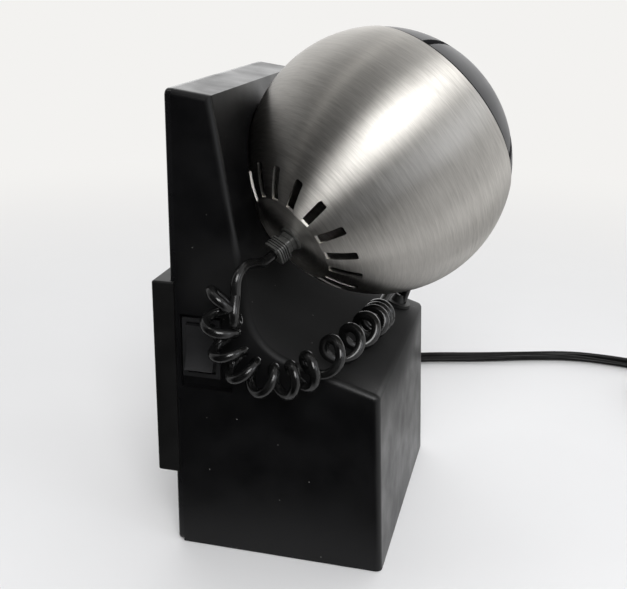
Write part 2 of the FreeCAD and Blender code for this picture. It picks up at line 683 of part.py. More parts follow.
def make_back_cover():
    """The plate that closes the back, with ribs that locate it in the housing."""
    body = new_body("back_cover")
    top = f"({top_z0()} - {tan('top_fall')} * {OPEN_FACE})"
    pad(body, "YZ", BACK, "cover_plate", 1, [rectangle(NEAR_SIDE, "floor_gap", FAR_SIDE, top)])
    dress(body, "Fillet", "edge_radius", lambda e: runs_along(e, 0))
    back = number(BACK)
    dress(body, "Fillet", "cover_plate / 2", lambda e: lies_at(e, 0, back))
    outer_y = "(base_width / 2 - housing_wall - rib_clearance)"
    inner_y = f"({outer_y} - rib_plate)"
    ceiling = f"({top_z0('housing_wall')} - {tan('top_fall')} * ({OPEN_FACE} + rib_height))"
    top_inside = f"({ceiling} - rib_clearance)"
    floor_inside = f"({FLOOR} + rib_clearance)"
    half_rib = f"({inner_y} - 3 * post_radius)"
    ribs = [
        rectangle(f"(-{half_rib})", f"({top_inside} - rib_plate)", half_rib, top_inside),
        rectangle(f"(-{half_rib})", floor_inside, half_rib, f"({floor_inside} + rib_plate)"),
    ]
    for low, high in (("(post_low + 3 * post_radius)", "(recess_middle - recess_height / 2 - post_radius)"),
                      ("(recess_middle + recess_height / 2 + post_radius)", "(post_high - 3 * post_radius)")):
        ribs.append(rectangle(inner_y, low, outer_y, high))
        ribs.append(rectangle(f"-{outer_y}", low, f"-{inner_y}", high))
    pad(body, "YZ", OPEN_FACE, "rib_height", 1, ribs)
    holes = [("circle", y, z, "(screw_radius + screw_clearance)")
             for y in (POST_Y, f"-{POST_Y}") for z in ("post_low", "post_high")]
    pocket(body, "YZ", f"({BACK} - 1)", "(cover_plate + 2)", 1, holes)
    sink_x = number(BACK)
    hole_radius = number("screw_radius + screw_clearance")
    dress(body, "Chamfer", "(screw_head - screw_radius)", lambda e: lies_at(e, 0, sink_x)
          and abs(e.Length - 2 * math.pi * hole_radius) < NEAR)
    studs = [("circle", y, "stud_height", "(stud_neck + screw_clearance)")
             for y in ("stud_spacing / 2", "-stud_spacing / 2")]
    pocket(body, "YZ", f"({BACK} - 1)", "(cover_plate + 2)", 1, studs)
    return body


def make_wall_bracket():
    """A moulded tray with a web at mid depth; it wraps round the cover's edges."""
    body = new_body("wall_bracket")
    inner_y = "(base_width / 2 + bracket_gap)"
    outer_y = f"({inner_y} + bracket_wall)"
    rear = f"({BACK} - bracket_depth)"
    pad(body, "YZ", rear, "(bracket_depth + bracket_wrap)", 1,
        [rectangle(f"-{outer_y}", "bracket_low", outer_y, "bracket_high")])
    dress(body, "Fillet", "bracket_wall / 2", lambda e: runs_along(e, 0) or lies_at(e, 0, number(rear)))
    pocket(body, "YZ", BACK, "(bracket_wrap + 1)", 1,
           [rectangle(f"-{inner_y}", "(bracket_low - 1)", inner_y, "(bracket_high + 1)")])
    pocket(body, "YZ", BACK, "web_front", -1, [rectangle(
        f"(-{inner_y} + bracket_wall)", "(bracket_low + bracket_wall)",
        f"({inner_y} - bracket_wall)", "(bracket_high - bracket_wall)")])
    pocket(body, "YZ", f"({rear} - 1)", "(bracket_depth - web_front - web_plate + 1)", 1, [rectangle(
        f"-{inner_y}", "(bracket_low + bracket_wall)", inner_y, "(bracket_high - bracket_wall)")])
    slot = "(stud_neck + key_clearance)"
    eye = "(stud_head + 2 * key_clearance)"
    for side in ("stud_spacing / 2", "-stud_spacing / 2"):
        web_cut(body, [("circle", side, "(stud_height + key_lift)", eye)])
        web_cut(body, [[(f"({side} - {slot})", "(stud_height + key_lift)"),
                        (f"({side} - {slot})", "stud_height"),
                        (f"({side} + {slot})", "stud_height", f"{slot} * 1.0001", 1),
                        (f"({side} + {slot})", "(stud_height + key_lift)")]])
    web_cut(body, [("circle", y, "wall_height", "wall_hole")
                   for y in ("wall_spacing / 2", "-wall_spacing / 2")])
    return body


def web_cut(body, loops):
    pocket(body, "YZ", f"({BACK} - web_front + 0.5)", "(web_plate + 1)", -1, loops)


def make_studs():
    """Two headed studs riveted in the back cover, which the bracket's keyholes hang on."""
    members = []
    for index, y in enumerate(("stud_spacing / 2", "-stud_spacing / 2")):
        rear = f"({BACK} - web_front - web_plate - 0.1)"
        neck = cylinder(f"stud_neck_{index}", "stud_neck", f"({OPEN_FACE} - {rear})",
                        place(rear, y, "stud_height", pitch="90"))
        head = cylinder(f"stud_head_{index}", "stud_head", "stud_cap",
                        place(f"({rear} - stud_cap)", y, "stud_height", pitch="90"))
        rivet = cylinder(f"stud_rivet_{index}", "(stud_neck + 1.5)", "1.2",
                         place(OPEN_FACE, y, "stud_height", pitch="90"))
        members.append(fused(f"stud_{index}", [neck, head, rivet]))
    return group("hanger_studs", members)


def make_cover_screws():
    members = []
    for index, (y, z) in enumerate(((POST_Y, "post_low"), (f"-{POST_Y}", "post_low"),
                                    (POST_Y, "post_high"), (f"-{POST_Y}", "post_high"))):
        members.append(screw(f"cover_screw_{index}", "cover_screw", BACK, y, z, pitch="90"))
    return group("cover_screws", members)


def make_base_pad():
    body = new_body("base_pad")
    x = "(base_depth / 2 - pad_inset)"
    y = "(base_width / 2 - pad_inset)"
    pad(body, "XY", "0", "pad_plate", 1, [rectangle(f"(-{x} + cover_plate)", f"-{y}", x, y)])
    dress(body, "Fillet", "pad_corner", lambda e: runs_along(e, 2))
    return body


# ---------------------------------------------------------------- transformer

def make_core():
    """Stacked E and I laminations with two windows."""
    body = new_body("transformer_core")
    half = "core_width / 2"
    window = f"({half} - core_leg)"
    low = f"({FLOOR} + core_leg)"
    high = f"({CORE_TOP} - core_leg)"
    pad(body, "YZ", "core_place", "core_stack", 0, [
        rectangle(f"(-{half})", FLOOR, f"({half})", CORE_TOP),
        rectangle("core_leg", low, window, high),
        rectangle(f"-{window}", low, "-core_leg", high),
    ])
    return body


def make_winding():
    """The bobbin's winding round the middle leg, filling both windows."""
    body = new_body("transformer_coil")
    window = "(core_width / 2 - core_leg - coil_clearance)"
    build = f"({window} - core_leg)"
    outer_x = f"(core_stack / 2 + {build})"
    level = f"({FLOOR} + core_leg + coil_clearance)"
    length = "(core_height - 2 * core_leg - 2 * coil_clearance)"
    pad(body, "XY", level, length, 1, [rectangle(
        f"(core_place - {outer_x})", f"-{window}", f"(core_place + {outer_x})", window)])
    dress(body, "Fillet", "coil_corner", lambda e: runs_along(e, 2))
    leg_x = "(core_stack / 2 + coil_clearance)"
    leg_y = "(core_leg + coil_clearance)"
    pocket(body, "XY", f"({level} - 1)", f"({length} + 2)", 1, [rectangle(
        f"(core_place - {leg_x})", f"-{leg_y}", f"(core_place + {leg_x})", leg_y)])
    return body


def make_clamp():
    """The steel strap that holds the core down, with a foot on each boss."""
    body = new_body("transformer_clamp")
    inner = "(core_width / 2 + clamp_gap)"
    outer = f"({inner} + clamp_plate)"
    foot = f"({outer} + foot_reach)"
    sole = f"({FLOOR} + boss_height)"
    ankle = f"({sole} + clamp_plate)"
    under = f"({CORE_TOP} + clamp_gap)"
    crown = f"({under} + clamp_plate)"
    pad(body, "YZ", "core_place", "clamp_width", 0, [[
        (f"-{foot}", sole), (f"-{inner}", sole), (f"-{inner}", under), (inner, under),
        (inner, sole), (foot, sole), (foot, ankle), (outer, ankle),
        (outer, crown), (f"-{outer}", crown), (f"-{outer}", ankle), (f"-{foot}", ankle)]])
    pocket(body, "XY", f"({sole} - 1)", "(clamp_plate + 2)", 1,
           [("circle", "core_place", y, "(screw_radius + 0.2)") for y in ("boss_place", "-boss_place")])
    return body


def make_clamp_screws():
    members = []
    top = f"({FLOOR} + boss_height + clamp_plate)"
    for index, y in enumerate(("boss_place", "-boss_place")):
        head = cylinder(f"clamp_head_{index}", "screw_head", "screw_cone", place("core_place", y, top))
        shank = cylinder(f"clamp_shank_{index}", "screw_radius", "clamp_screw",
                         place("core_place", y, f"({top} - clamp_screw)"))
        members.append(fused(f"clamp_screw_{index}", [head, shank]))
    return group("clamp_screws", members)


# ---------------------------------------------------------------- rocker switch

RECESS_Y = f"({NEAR_SIDE} + recess_depth)"


def make_switch_body():
    """The switch's moulded case: a flange on the recess's floor and an open box behind it."""
    body = new_body("switch_case")

    def round_rocker(half_x, half_z):
        return rectangle(f"({ROCKER_X} - {half_x})", f"(rocker_height - {half_z})",
                         f"({ROCKER_X} + {half_x})", f"(rocker_height + {half_z})")

    pad(body, "XZ", RECESS_Y, "switch_flange", -1,
        [round_rocker(f"({SWITCH_HALF_X} + flange_lip)", f"({SWITCH_HALF_Z} + flange_lip)")])
    pad(body, "XZ", RECESS_Y, "switch_depth", 1, [round_rocker(SWITCH_HALF_X, SWITCH_HALF_Z)])
    inner_x = f"({SWITCH_HALF_X} - switch_wall)"
    inner_z = f"({SWITCH_HALF_Z} - switch_wall)"
    pocket(body, "XZ", f"({RECESS_Y} - switch_flange - 1)", "(switch_flange + switch_depth)", 1,
           [round_rocker(inner_x, inner_z)])
    pocket(body, "YZ", f"({ROCKER_X} - {SWITCH_HALF_X} - 1)", f"({SWITCH_HALF_X} * 2 + 2)", 1,
           [("circle", PIN_Y, "rocker_height", "(pin_radius + pin_clearance)")])
    slot_y = f"({RECESS_Y} + switch_depth - 2)"
    blades = [rectangle(f"({ROCKER_X} - blade_plate / 2)", f"({z} - blade_width / 2)",
                        f"({ROCKER_X} + blade_plate / 2)", f"({z} + blade_width / 2)")
              for z in blade_heights()]
    pocket(body, "XZ", slot_y, "3", 1, blades)
    return body


def blade_heights():
    return "(rocker_height + blade_spacing / 2)", "(rocker_height - blade_spacing / 2)"


def make_terminals():
    """Two brass blades through the rear wall of the switch."""
    members = []
    for index, z in enumerate(blade_heights()):
        box = doc.addObject("Part::Box", f"terminal_{index}")
        box.setExpression("Length", ref("blade_plate"))
        box.setExpression("Width", ref("blade_length"))
        box.setExpression("Height", ref("blade_width"))
        box.setExpression("Placement", ref(place(
            f"({ROCKER_X} - blade_plate / 2)", f"({RECESS_Y} + switch_depth - switch_wall)",
            f"({z} - blade_width / 2)")))
        members.append(box)
    return group("switch_terminals", members)


def make_rocker():
    """The rocker about its pin: a hollow face, sides that clear the case and a hub for the pin."""
    where = place(ROCKER_X, PIN_Y, "rocker_height", roll="-rocker_tilt")
    body = new_body("rocker", where)
    hub = "(pin_radius + 1.5)"
    pad(body, "YZ", "0", "rocker_width", 0, [[
        ("-rocker_face", "-rocker_reach", "rocker_hollow", -1),
        ("-0.8", "(-rocker_reach - 0.8)"),
        ("1.5", "(-rocker_reach + 0.6)"),
        (hub, f"-{hub}"),
        (hub, hub),
        ("1.5", "(rocker_reach - 0.6)"),
        ("-0.8", "(rocker_reach + 0.8)"),
        ("-rocker_face", "rocker_reach"),
    ]])
    pocket(body, "YZ", "(-rocker_width / 2 - 1)", "(rocker_width + 2)", 1,
           [("circle", "0", "0", "(pin_radius + pin_clearance)")])
    return body


def make_rocker_pin():
    length = f"({SWITCH_HALF_X} * 2)"
    pin = cylinder("rocker_pin", "pin_radius", length,
                   place(f"({ROCKER_X} - {SWITCH_HALF_X})", PIN_Y, "rocker_height", pitch="90"))
    pin.Label = "rocker_pin"
    return pin


# ---------------------------------------------------------------- magnet seat

CUP_TOP = "(-(ball_radius + cup_drop))"
CUP_BACK = f"({CUP_TOP} - cup_height)"


def make_magnet_cup():
    bore = "(cup_radius - cup_wall)"
    return turned_piece("magnet_cup", IN_SEAT, [
        ("0", CUP_BACK), ("cup_radius", CUP_BACK), ("cup_radius", CUP_TOP), (bore, CUP_TOP),
        (bore, f"({CUP_BACK} + cup_wall)"), ("0", f"({CUP_BACK} + cup_wall)")])


def make_magnet():
    return turned_piece("magnet", IN_SEAT, [
        ("0", f"({CUP_BACK} + cup_wall)"), ("magnet_radius", f"({CUP_BACK} + cup_wall)"),
        ("magnet_radius", CUP_TOP), ("0", CUP_TOP)])


def make_seat_ring():
    """The nylon ring that the ball rides on; its end is hollowed to the ball."""
    ride = "(ball_radius + ring_gap)"
    bottom = f"({CUP_BACK} + cup_wall + 0.1)"
    return turned_piece("seat_ring", IN_SEAT, [
        ("ring_inner", bottom), ("ring_outer", bottom),
        ("ring_outer", f"-sqrt({ride} ^ 2 - ring_outer ^ 2)"),
        ("ring_inner", f"-sqrt({ride} ^ 2 - ring_inner ^ 2)", ride, -1)])


# ---------------------------------------------------------------- ball head

def make_ball_shell():
    """Spun steel ball: flat back with a cord hole, sixteen vent slots, open front."""
    body = new_body("ball_shell", IN_BALL)
    inner = "(ball_radius - ball_sheet)"
    flat_inside = f"({FLAT_Z} + ball_sheet)"
    inner_flat = f"sqrt({inner} ^ 2 - {flat_inside} ^ 2)"
    rim_rho = f"(ball_radius * {sin('rim_angle')})"
    rim_z = f"(ball_radius * {cos('rim_angle')})"
    inner_rho = f"({inner} * {sin('rim_angle')})"
    inner_z = f"({inner} * {cos('rim_angle')})"
    revolve(body, [[
        ("cord_hole", FLAT_Z), ("flat_radius", FLAT_Z),
        ("ball_radius", "0", "ball_radius", 1),
        (rim_rho, rim_z, "ball_radius", 1),
        (inner_rho, inner_z),
        (inner, "0", inner, -1),
        (inner_flat, flat_inside, inner, -1),
        ("cord_hole", flat_inside)]])
    half = "slot_width / 2"
    straight = "(slot_reach - slot_corner)"
    slot = pocket(body, "XY", "(-ball_radius - 1)", "(ball_radius - 5)", 1, [[
        ("slot_start", f"(-{half})"), (straight, f"(-{half})"),
        ("slot_reach", f"(-{half} + slot_corner)", "slot_corner", 1),
        ("slot_reach", f"({half} - slot_corner)"),
        (straight, f"({half})", "slot_corner", 1),
        ("slot_start", f"({half})")]])
    repeat_round(body, slot, "slot_count")
    return body


def make_front_bezel():
    """The black dome in the ball's mouth, with a skirt inside the steel and a round opening."""
    body = new_body("front_bezel", IN_MOUTH)
    edge_rho = f"({DOME} * {sin('bezel_angle')})"
    edge_z = f"({DOME} * {cos('bezel_angle')})"
    skirt = f"({RIM_INSIDE} - bezel_fit)"
    skirt_in = f"({skirt} - skirt_wall)"
    inner = f"({DOME} - bezel_wall)"
    revolve(body, [[
        (skirt_in, "skirt_back"), (skirt, "skirt_back"), (skirt, edge_z), (edge_rho, edge_z),
        ("mouth_radius", DOME_MOUTH, DOME, 1),
        ("mouth_radius", f"sqrt({inner} ^ 2 - mouth_radius ^ 2)"),
        (skirt_in, f"sqrt({inner} ^ 2 - {skirt_in} ^ 2)", inner, -1)]])
    notch = pocket(body, "XY", f"({edge_z} + edge_band)", "ball_radius", 1, [
        rectangle("notch_inner", "-notch_width / 2", "ball_radius", "notch_width / 2")])
    repeat_round(body, notch, "notch_count")
    return body


def make_glare_ring():
    """A black tube in the opening, stepped inside so that little light leaves sideways."""
    outer = "(mouth_radius - baffle_fit)"
    front = f"({DOME_MOUTH} - baffle_drop)"
    pitch = f"(({front} - baffle_back) / step_count)"
    steps = []
    for index in range(int(number("step_count"))):
        bore = f"({outer} - baffle_wall - step_depth * {index + 1})"
        low = f"({front} - {pitch} * {index + 1})"
        high = f"({front} - {pitch} * {index})"
        steps += [(bore, high), (bore, low)]
    return turned_piece("glare_ring", IN_BALL, [
        (outer, "baffle_back"), (outer, front)] + steps)


def make_reflector():
    """A spun mirror bowl round the bulb, with a rim against the glare ring."""
    rim = "(baffle_back - mirror_plate)"
    lip = "(mouth_radius - baffle_fit)"
    return turned_piece("reflector", IN_BALL, [
        ("mirror_neck", "mirror_back", "mirror_curve", -1),
        ("(mirror_neck + mirror_plate)", "mirror_back"),
        ("(mirror_mouth + mirror_plate)", rim, "mirror_curve", 1),
        (lip, rim), (lip, "baffle_back"), ("mirror_mouth", "baffle_back"),
    ])


def make_bulb():
    """Glass: a ball on a short neck that stands in the cap."""
    neck = "(cap_radius - 1)"
    meet = "(globe_place - sqrt(globe_radius ^ 2 - (cap_radius - 1) ^ 2))"
    return turned_piece("bulb_glass", IN_BALL, [
        ("0", "cap_front"), (neck, "cap_front"), (neck, meet),
        ("globe_radius", "globe_place", "globe_radius", 1),
        ("0", "(globe_place + globe_radius)", "globe_radius", 1)])


def make_bulb_cap():
    nose = "(cap_back - 2)"
    return turned_piece("bulb_cap", IN_BALL, [
        ("0", nose), ("3", nose), ("4", "cap_back"), ("cap_radius", "cap_back"),
        ("cap_radius", "cap_front"), ("0", "cap_front")])


def make_holder():
    """The lamp holder: a deep cup with the flange that hangs in the carrier."""
    bore = "(cap_radius + holder_fit)"
    lip = "(spider_seat - 1.2)"
    return turned_piece("lamp_holder", IN_BALL, [
        ("0", "holder_back"), ("holder_radius", "holder_back"), ("holder_radius", lip),
        ("(holder_radius + 2.5)", lip), ("(holder_radius + 2.5)", "spider_seat"),
        ("holder_radius", "spider_seat"), ("holder_radius", "holder_front"), (bore, "holder_front"),
        (bore, "(cap_back - 2.5)"), ("0", "(cap_back - 2.5)")])


def make_carrier():
    """The pressed steel carrier from the dome's skirt to the lamp holder, with three arms."""
    body = new_body("lamp_carrier", IN_BALL)
    outer = f"({RIM_INSIDE} - bezel_fit)"
    top = "skirt_back"
    under = "(skirt_back - spider_plate)"
    ring = "(holder_radius + holder_fit)"
    ring_top = "(spider_seat + spider_plate)"
    revolve(body, [[
        (outer, under), (outer, top), (f"({outer} - 5)", top),
        (f"({ring} + 2)", ring_top), (ring, ring_top), (ring, "spider_seat"),
        (f"({ring} + 2.8)", "spider_seat"), (f"({outer} - 4.2)", under)]])
    inside = f"({ring} + 4)"
    outside = f"({outer} - 7)"
    across, along = sin("arm_window"), cos("arm_window")
    window = pocket(body, "XY", "(spider_seat - 1)", "40", 1, [[
        (f"({inside} * {along})", f"(-{inside} * {across})", inside, -1),
        (f"({outside} * {along})", f"(-{outside} * {across})"),
        (f"({outside} * {along})", f"({outside} * {across})", outside, 1),
        (f"({inside} * {along})", f"({inside} * {across})")]])
    repeat_round(body, window, "arm_count")
    return body


def make_relief():
    """The ribbed strain relief on the flat back: a flange, a slim part and a ribbed part."""
    tip = f"({FLAT_Z} - relief_length)"
    pitch = "(relief_length * 0.5 / 4)"
    ribs = []
    for index in range(4):
        start = f"({tip} + {pitch} * {index})"
        ribs += [("relief_outer", start), ("relief_outer", f"({start} + {pitch} * 0.6)"),
                 ("(relief_outer - 0.35)", f"({start} + {pitch} * 0.6)"),
                 ("(relief_outer - 0.35)", f"({start} + {pitch})")]
    bore = "(wire_radius + wire_clearance)"
    shoulder = f"({tip} + {pitch} * 4)"
    stem = "(cord_hole - 0.1)"
    inside = f"({FLAT_Z} + ball_sheet + 4)"
    return turned_piece("strain_relief", IN_BALL, [(bore, tip)] + ribs + [
        ("relief_inner", shoulder), ("relief_inner", f"({FLAT_Z} - 0.9)"),
        ("relief_flange", f"({FLAT_Z} - 0.9)"), ("relief_flange", FLAT_Z),
        (stem, FLAT_Z), (stem, inside), (bore, inside)])


def make_relief_nut():
    """The six-sided nut that holds the strain relief from inside the ball."""
    body = new_body("relief_nut", IN_BALL)
    corners = []
    for k in range(6):
        across = f"(relief_nut * {sin(str(60 * k))})" if k % 3 else "0"
        corners.append((f"(relief_nut * {cos(str(60 * k))})", across))
    pad(body, "XY", f"({FLAT_Z} + ball_sheet)", "3", 1, [corners, ("circle", "0", "0", "cord_hole")])
    return body


# ---------------------------------------------------------------- cords

def tube(label, points, radius):
    """A round tube along straight runs joined by tangent arcs, as large as the runs allow."""
    points = [Vector(*point) for point in points]
    share = 0.45
    edges = []
    radii = []
    start = points[0]
    for before, corner, after in zip(points, points[1:], points[2:]):
        back = before - corner
        ahead = after - corner
        setback = share * min(back.Length, ahead.Length)
        back.normalize()
        ahead.normalize()
        half_turn = (math.pi - back.getAngle(ahead)) / 2
        radii.append(setback / math.tan(half_turn))
        first = corner + back * setback
        last = corner + ahead * setback
        bisector = (back + ahead).normalize()
        rise = radii[-1] / math.cos(half_turn) - radii[-1]
        middle = corner + bisector * rise
        edges += [Part.LineSegment(start, first).toShape(), Part.Arc(first, middle, last).toShape()]
        start = last
    edges.append(Part.LineSegment(start, points[-1]).toShape())
    path = Part.Wire(edges)
    section = Part.Wire([Part.Circle(points[0], points[1] - points[0], radius).toShape()])
    shape = path.makePipeShell([section], True, True)
    expected = math.pi * radius ** 2 * path.Length
    if abs(shape.Volume - expected) > 0.01 * expected:
        raise ValueError(f"{label} holds {shape.Volume:.0f}, not {expected:.0f}")
    print(f"{label}: length {path.Length:.0f}, radii", " ".join(f"{r:.0f}" for r in radii))
    return shape


def feature(label, shape):
    piece = doc.addObject("Part::Feature", label)
    piece.Label = label
    piece.Shape = shape
    piece.Placement = FreeCAD.Placement()
    return piece


def in_frame(placement, *points):
    """Points of a piece's own frame as places of the lamp."""
    value = sheet.evalExpression(ref(placement))
    return [tuple(value.multVec(Vector(*point))) for point in points]


# Middle line of the curls, from the ball's side to the gland's: they hang over the near
# edge beside the housing, climb on to the base's top and lie along it under the ball.
CURL_ROUTE = (
    (-18.6, -62.4, 104.5), (-18.2, -62.9, 97.5), (-17.2, -63.0, 90.2), (-14.2, -63.0, 83.6),
    (-7.2, -63.0, 78.4), (1.6, -63.0, 76.6), (9.6, -62.6, 79.4), (15.2, -60.4, 83.6),
    (18.6, -53.4, 85.6), (20.4, -44.0, 84.4), (22.8, -29.0, 83.4), (24.9, -14.0, 82.8),
    (26.5, 1.0, 82.2), (27.3, 14.0, 82.0),
)


def make_curly_cord():
    return feature("curly_cord", tube("curly_cord", CURL_ROUTE, number("curl_radius")))


def make_ball_lead():
    """The plain end of the curly cord, out of the ball's strain relief and down to the curls."""
    tip = number(f"({FLAT_Z} - relief_length)")
    inside, outside = in_frame(IN_BALL, (0, 0, tip + 6), (0, 0, tip - 5))
    first, second = (Vector(*point) for point in CURL_ROUTE[:2])
    above = tuple(first + (first - second) * 1.05)
    route = [inside, outside, (-9.4, -50.6, 113.0), (-14.8, -58.9, 114.6), above, CURL_ROUTE[0]]
    return feature("curly_lead_ball", tube("curly_lead_ball", route, number("wire_radius")))


def make_base_lead():
    """The other plain end, which arches over into the gland in the base's top."""
    above, under = in_frame(ON_BASE_TOP, (0, 0, number("gland_snout") + 5), (0, 0, 0))
    route = [CURL_ROUTE[-1], (28.0, 21.4, 86.3), (29.0, 28.0, 90.9), (30.0, 35.2, 90.0), above, under]
    return feature("curly_lead_base", tube("curly_lead_base", route, number("wire_radius")))


def make_gland():
    """The rubber gland in the base's top that the curly cord goes into."""
    bore = "(wire_radius + wire_clearance)"
    lip = "(-housing_wall - 0.1)"
    return turned_piece("curly_gland", ON_BASE_TOP, [
        (bore, f"({lip} - 1.6)"), ("gland_flange", f"({lip} - 1.6)"), ("gland_flange", lip),
        ("gland_neck", lip), ("gland_neck", "0.1"), ("gland_flange", "0.1"),
        ("gland_flange", "1.6"), ("(gland_neck - 0.6)", "1.6"), ("(gland_neck - 1.4)", "gland_snout"),
        (bore, "gland_snout")])


def make_mains_bushing():
    """The long ribbed bushing that keeps the mains cord from bending at the housing."""
    bore = "(mains_radius + wire_clearance)"
    lip = "(-housing_wall - 0.1)"
    ribs = []
    count = int(number("bushing_ribs"))
    for index in range(count):
        start = f"(5 + (bushing_length - 8) / {count} * {index})"
        end = f"({start} + 1.4)"
        for z, depth in ((start, "0"), (start, "rib_groove"), (end, "rib_groove"), (end, "0")):
            taper = f"(bushing_neck - (bushing_neck - bushing_tip) * ({z} - 2) / (bushing_length - 2))"
            ribs.append((f"({taper} - {depth})", z))
    return turned_piece("mains_bushing", OUT_OF_FAR_SIDE, [
        (bore, f"({lip} - 2)"), ("(bushing_neck + 1.6)", f"({lip} - 2)"), ("(bushing_neck + 1.6)", lip),
        ("bushing_neck", lip), ("bushing_neck", "0.1"), ("bushing_flange", "0.1"), ("bushing_flange", "2"),
        ("bushing_neck", "2")] + ribs + [("bushing_tip", "bushing_length"), (bore, "bushing_length")])


# The mains cord on the table: round in front of the far side and off to the coil.
MAINS_ROUTE = (
    (-11.8, 108.0, 8.8), (-7.6, 127.0, 3.4), (5.6, 142.5, 3.1), (28.0, 153.6, 3.1),
    (57.0, 161.4, 3.1), (84.0, 171.6, 3.1), (109.0, 180.2, 3.1),
    (131.0, 179.6, 3.1), (151.0, 171.0, 3.1), (169.5, 164.6, 3.1),
)


def make_mains_cord():
    """The loose stretch from the bushing to the coil."""
    start = in_frame(OUT_OF_FAR_SIDE, (0, 0, 2), (0, 0, number("bushing_length") + 10))
    return feature("mains_cord", tube("mains_cord", start + list(MAINS_ROUTE), number("mains_radius")))


def make_mains_lead():
    """The short stretch from the coil to the plug."""
    half = number("plug_height / 2")
    tail = number("plug_y")
    side = number("coil_x + (coil_inner + coil_outer) / 2")
    route = [(side, tail + 15.5, 5.5), (side - 0.3, tail + 8, half), (number("plug_x"), tail, half)]
    return feature("mains_lead", tube("mains_lead", route, number("mains_radius")))


def make_mains_coil():
    """The spare length, wound and laid on the table."""
    return turned_piece("mains_coil", place("coil_x", "coil_y", "0"), [
        ("coil_inner", "2"), ("(coil_inner + 2)", "0.1"), ("(coil_outer - 2)", "0.1"),
        ("coil_outer", "2"), ("coil_outer", "(coil_height - 2)"), ("(coil_outer - 2)", "coil_height"),
        ("(coil_inner + 2)", "coil_height"), ("coil_inner", "(coil_height - 2)")])


def make_plug():
    """A flat two-pin plug lying on the table beside the coil."""
    body = new_body("plug_body", place("plug_x", "plug_y", "plug_height / 2"))
    half = "plug_width / 2"
    neck = "plug_neck / 2"
    pad(body, "XY", "0", "plug_height", 0, [[
        (f"(-{neck})", "0"), (f"(-{neck})", "-6"), (f"(-{half})", "-15"),
        (f"(-{half})", "-plug_length"), (f"({half})", "-plug_length"),
        (f"({half})", "-15"), (f"({neck})", "-6"), (f"({neck})", "0")][::-1]])
    dress(body, "Fillet", "3", lambda e: runs_along(e, 2))
    dress(body, "Fillet", "1.5", lambda e: abs(abs(e.BoundBox.ZMin - number("plug_height / 2"))
                                              - number("plug_height / 2")) < number("plug_height"))
    return body


def make_prongs():
    members = []
    for index, x in enumerate(("prong_spacing / 2", "-prong_spacing / 2")):
        where = place(f"(plug_x + {x})", "(plug_y - plug_length)", "plug_height / 2", roll="90")
        members.append(cylinder(f"prong_{index}", "prong_radius", "prong_length", where))
    return group("plug_pins", members)


# ---------------------------------------------------------------- all pieces

NODES = [
    make_housing(), make_back_cover(), make_cover_screws(), make_wall_bracket(), make_studs(),
    make_base_pad(), make_core(), make_winding(), make_clamp(), make_clamp_screws(),
    make_switch_body(), make_terminals(), make_rocker(), make_rocker_pin(),
    make_magnet_cup(), make_magnet(), make_seat_ring(),
    make_ball_shell(), make_front_bezel(), make_glare_ring(), make_reflector(), make_bulb(),
    make_bulb_cap(), make_holder(), make_carrier(), make_relief(), make_relief_nut(),
    make_gland(), make_curly_cord(), make_ball_lead(), make_base_lead(),
    make_mains_bushing(), make_mains_cord(), make_mains_coil(), make_mains_lead(), make_plug(), make_prongs(),
]
doc.recompute()

for item in doc.Objects:
    if {"Invalid", "Error"} & set(item.State):
        raise ValueError(f"{item.Label} failed: {item.State}")
for node in NODES:
    if node.Shape.isNull() or not node.Shape.isValid() or not node.Shape.Solids:
        raise ValueError(f"{node.Label} has no valid solid")

os.makedirs("parts", exist_ok=True)
for node in NODES:
    node.Shape.exportStep(f"parts/{node.Label}.step")
print(len(NODES), "nodes")
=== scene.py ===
import math

import bmesh
import bpy
from bpy.props import FloatProperty, FloatVectorProperty, PointerProperty
from mathutils import Matrix, Quaternion, Vector


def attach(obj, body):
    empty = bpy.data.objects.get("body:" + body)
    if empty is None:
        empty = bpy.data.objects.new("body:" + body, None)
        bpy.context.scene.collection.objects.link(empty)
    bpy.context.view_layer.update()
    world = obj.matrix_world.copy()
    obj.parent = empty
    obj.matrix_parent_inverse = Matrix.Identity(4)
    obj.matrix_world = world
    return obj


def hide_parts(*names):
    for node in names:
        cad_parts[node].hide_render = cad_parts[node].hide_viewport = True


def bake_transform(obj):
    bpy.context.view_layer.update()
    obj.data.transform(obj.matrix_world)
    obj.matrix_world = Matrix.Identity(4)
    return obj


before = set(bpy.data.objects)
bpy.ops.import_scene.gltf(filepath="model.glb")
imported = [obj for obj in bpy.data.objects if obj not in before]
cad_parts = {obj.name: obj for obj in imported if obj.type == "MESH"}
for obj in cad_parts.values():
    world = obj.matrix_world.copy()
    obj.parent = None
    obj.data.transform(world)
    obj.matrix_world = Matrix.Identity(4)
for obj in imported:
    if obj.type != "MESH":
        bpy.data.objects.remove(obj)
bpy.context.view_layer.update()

bl_info = {
    "name": "Ball Head Lamp",
    "version": (1, 0, 0),
    "blender": (4, 5, 0),
    "location": "View3D > Sidebar > Lamp",
    "description": "Builds the cords, details and finishes of a magnetic ball head lamp",
    "category": "Object",
}

MM = 0.001
FULL_TURN = 2 * math.pi


def mm(*numbers):
    """A place given in millimetres."""
    return Vector(numbers) * MM


def upright_frame(place, upward):
    """The matrix of a frame at a place, whose Z points upward."""
    return Matrix.LocRotScale(place, upward.to_track_quat("Z", "X"), None)


# ---------------------------------------------------------------- places of the frame

BALL_CENTRE = mm(24.005, 0, 144.155)
BALL_AXIS = Vector((0.54401418, 0.66702729, 0.50904142))
IN_BALL = upright_frame(BALL_CENTRE, BALL_AXIS)
# Millimetres along the ball's axis from its centre.
FLAT_BACK = -46.61
COVER_SCREWS = [mm(-40.35, y, z) for y in (-47.15, 47.15) for z in (12.5, 160.0)]
# Radians that a screw is turned for each metre of its height.
SCREW_TURN = 40
COIL_CENTRE = mm(193, 128, 0)
PLUG_REAR = mm(228, 86, 6.8)


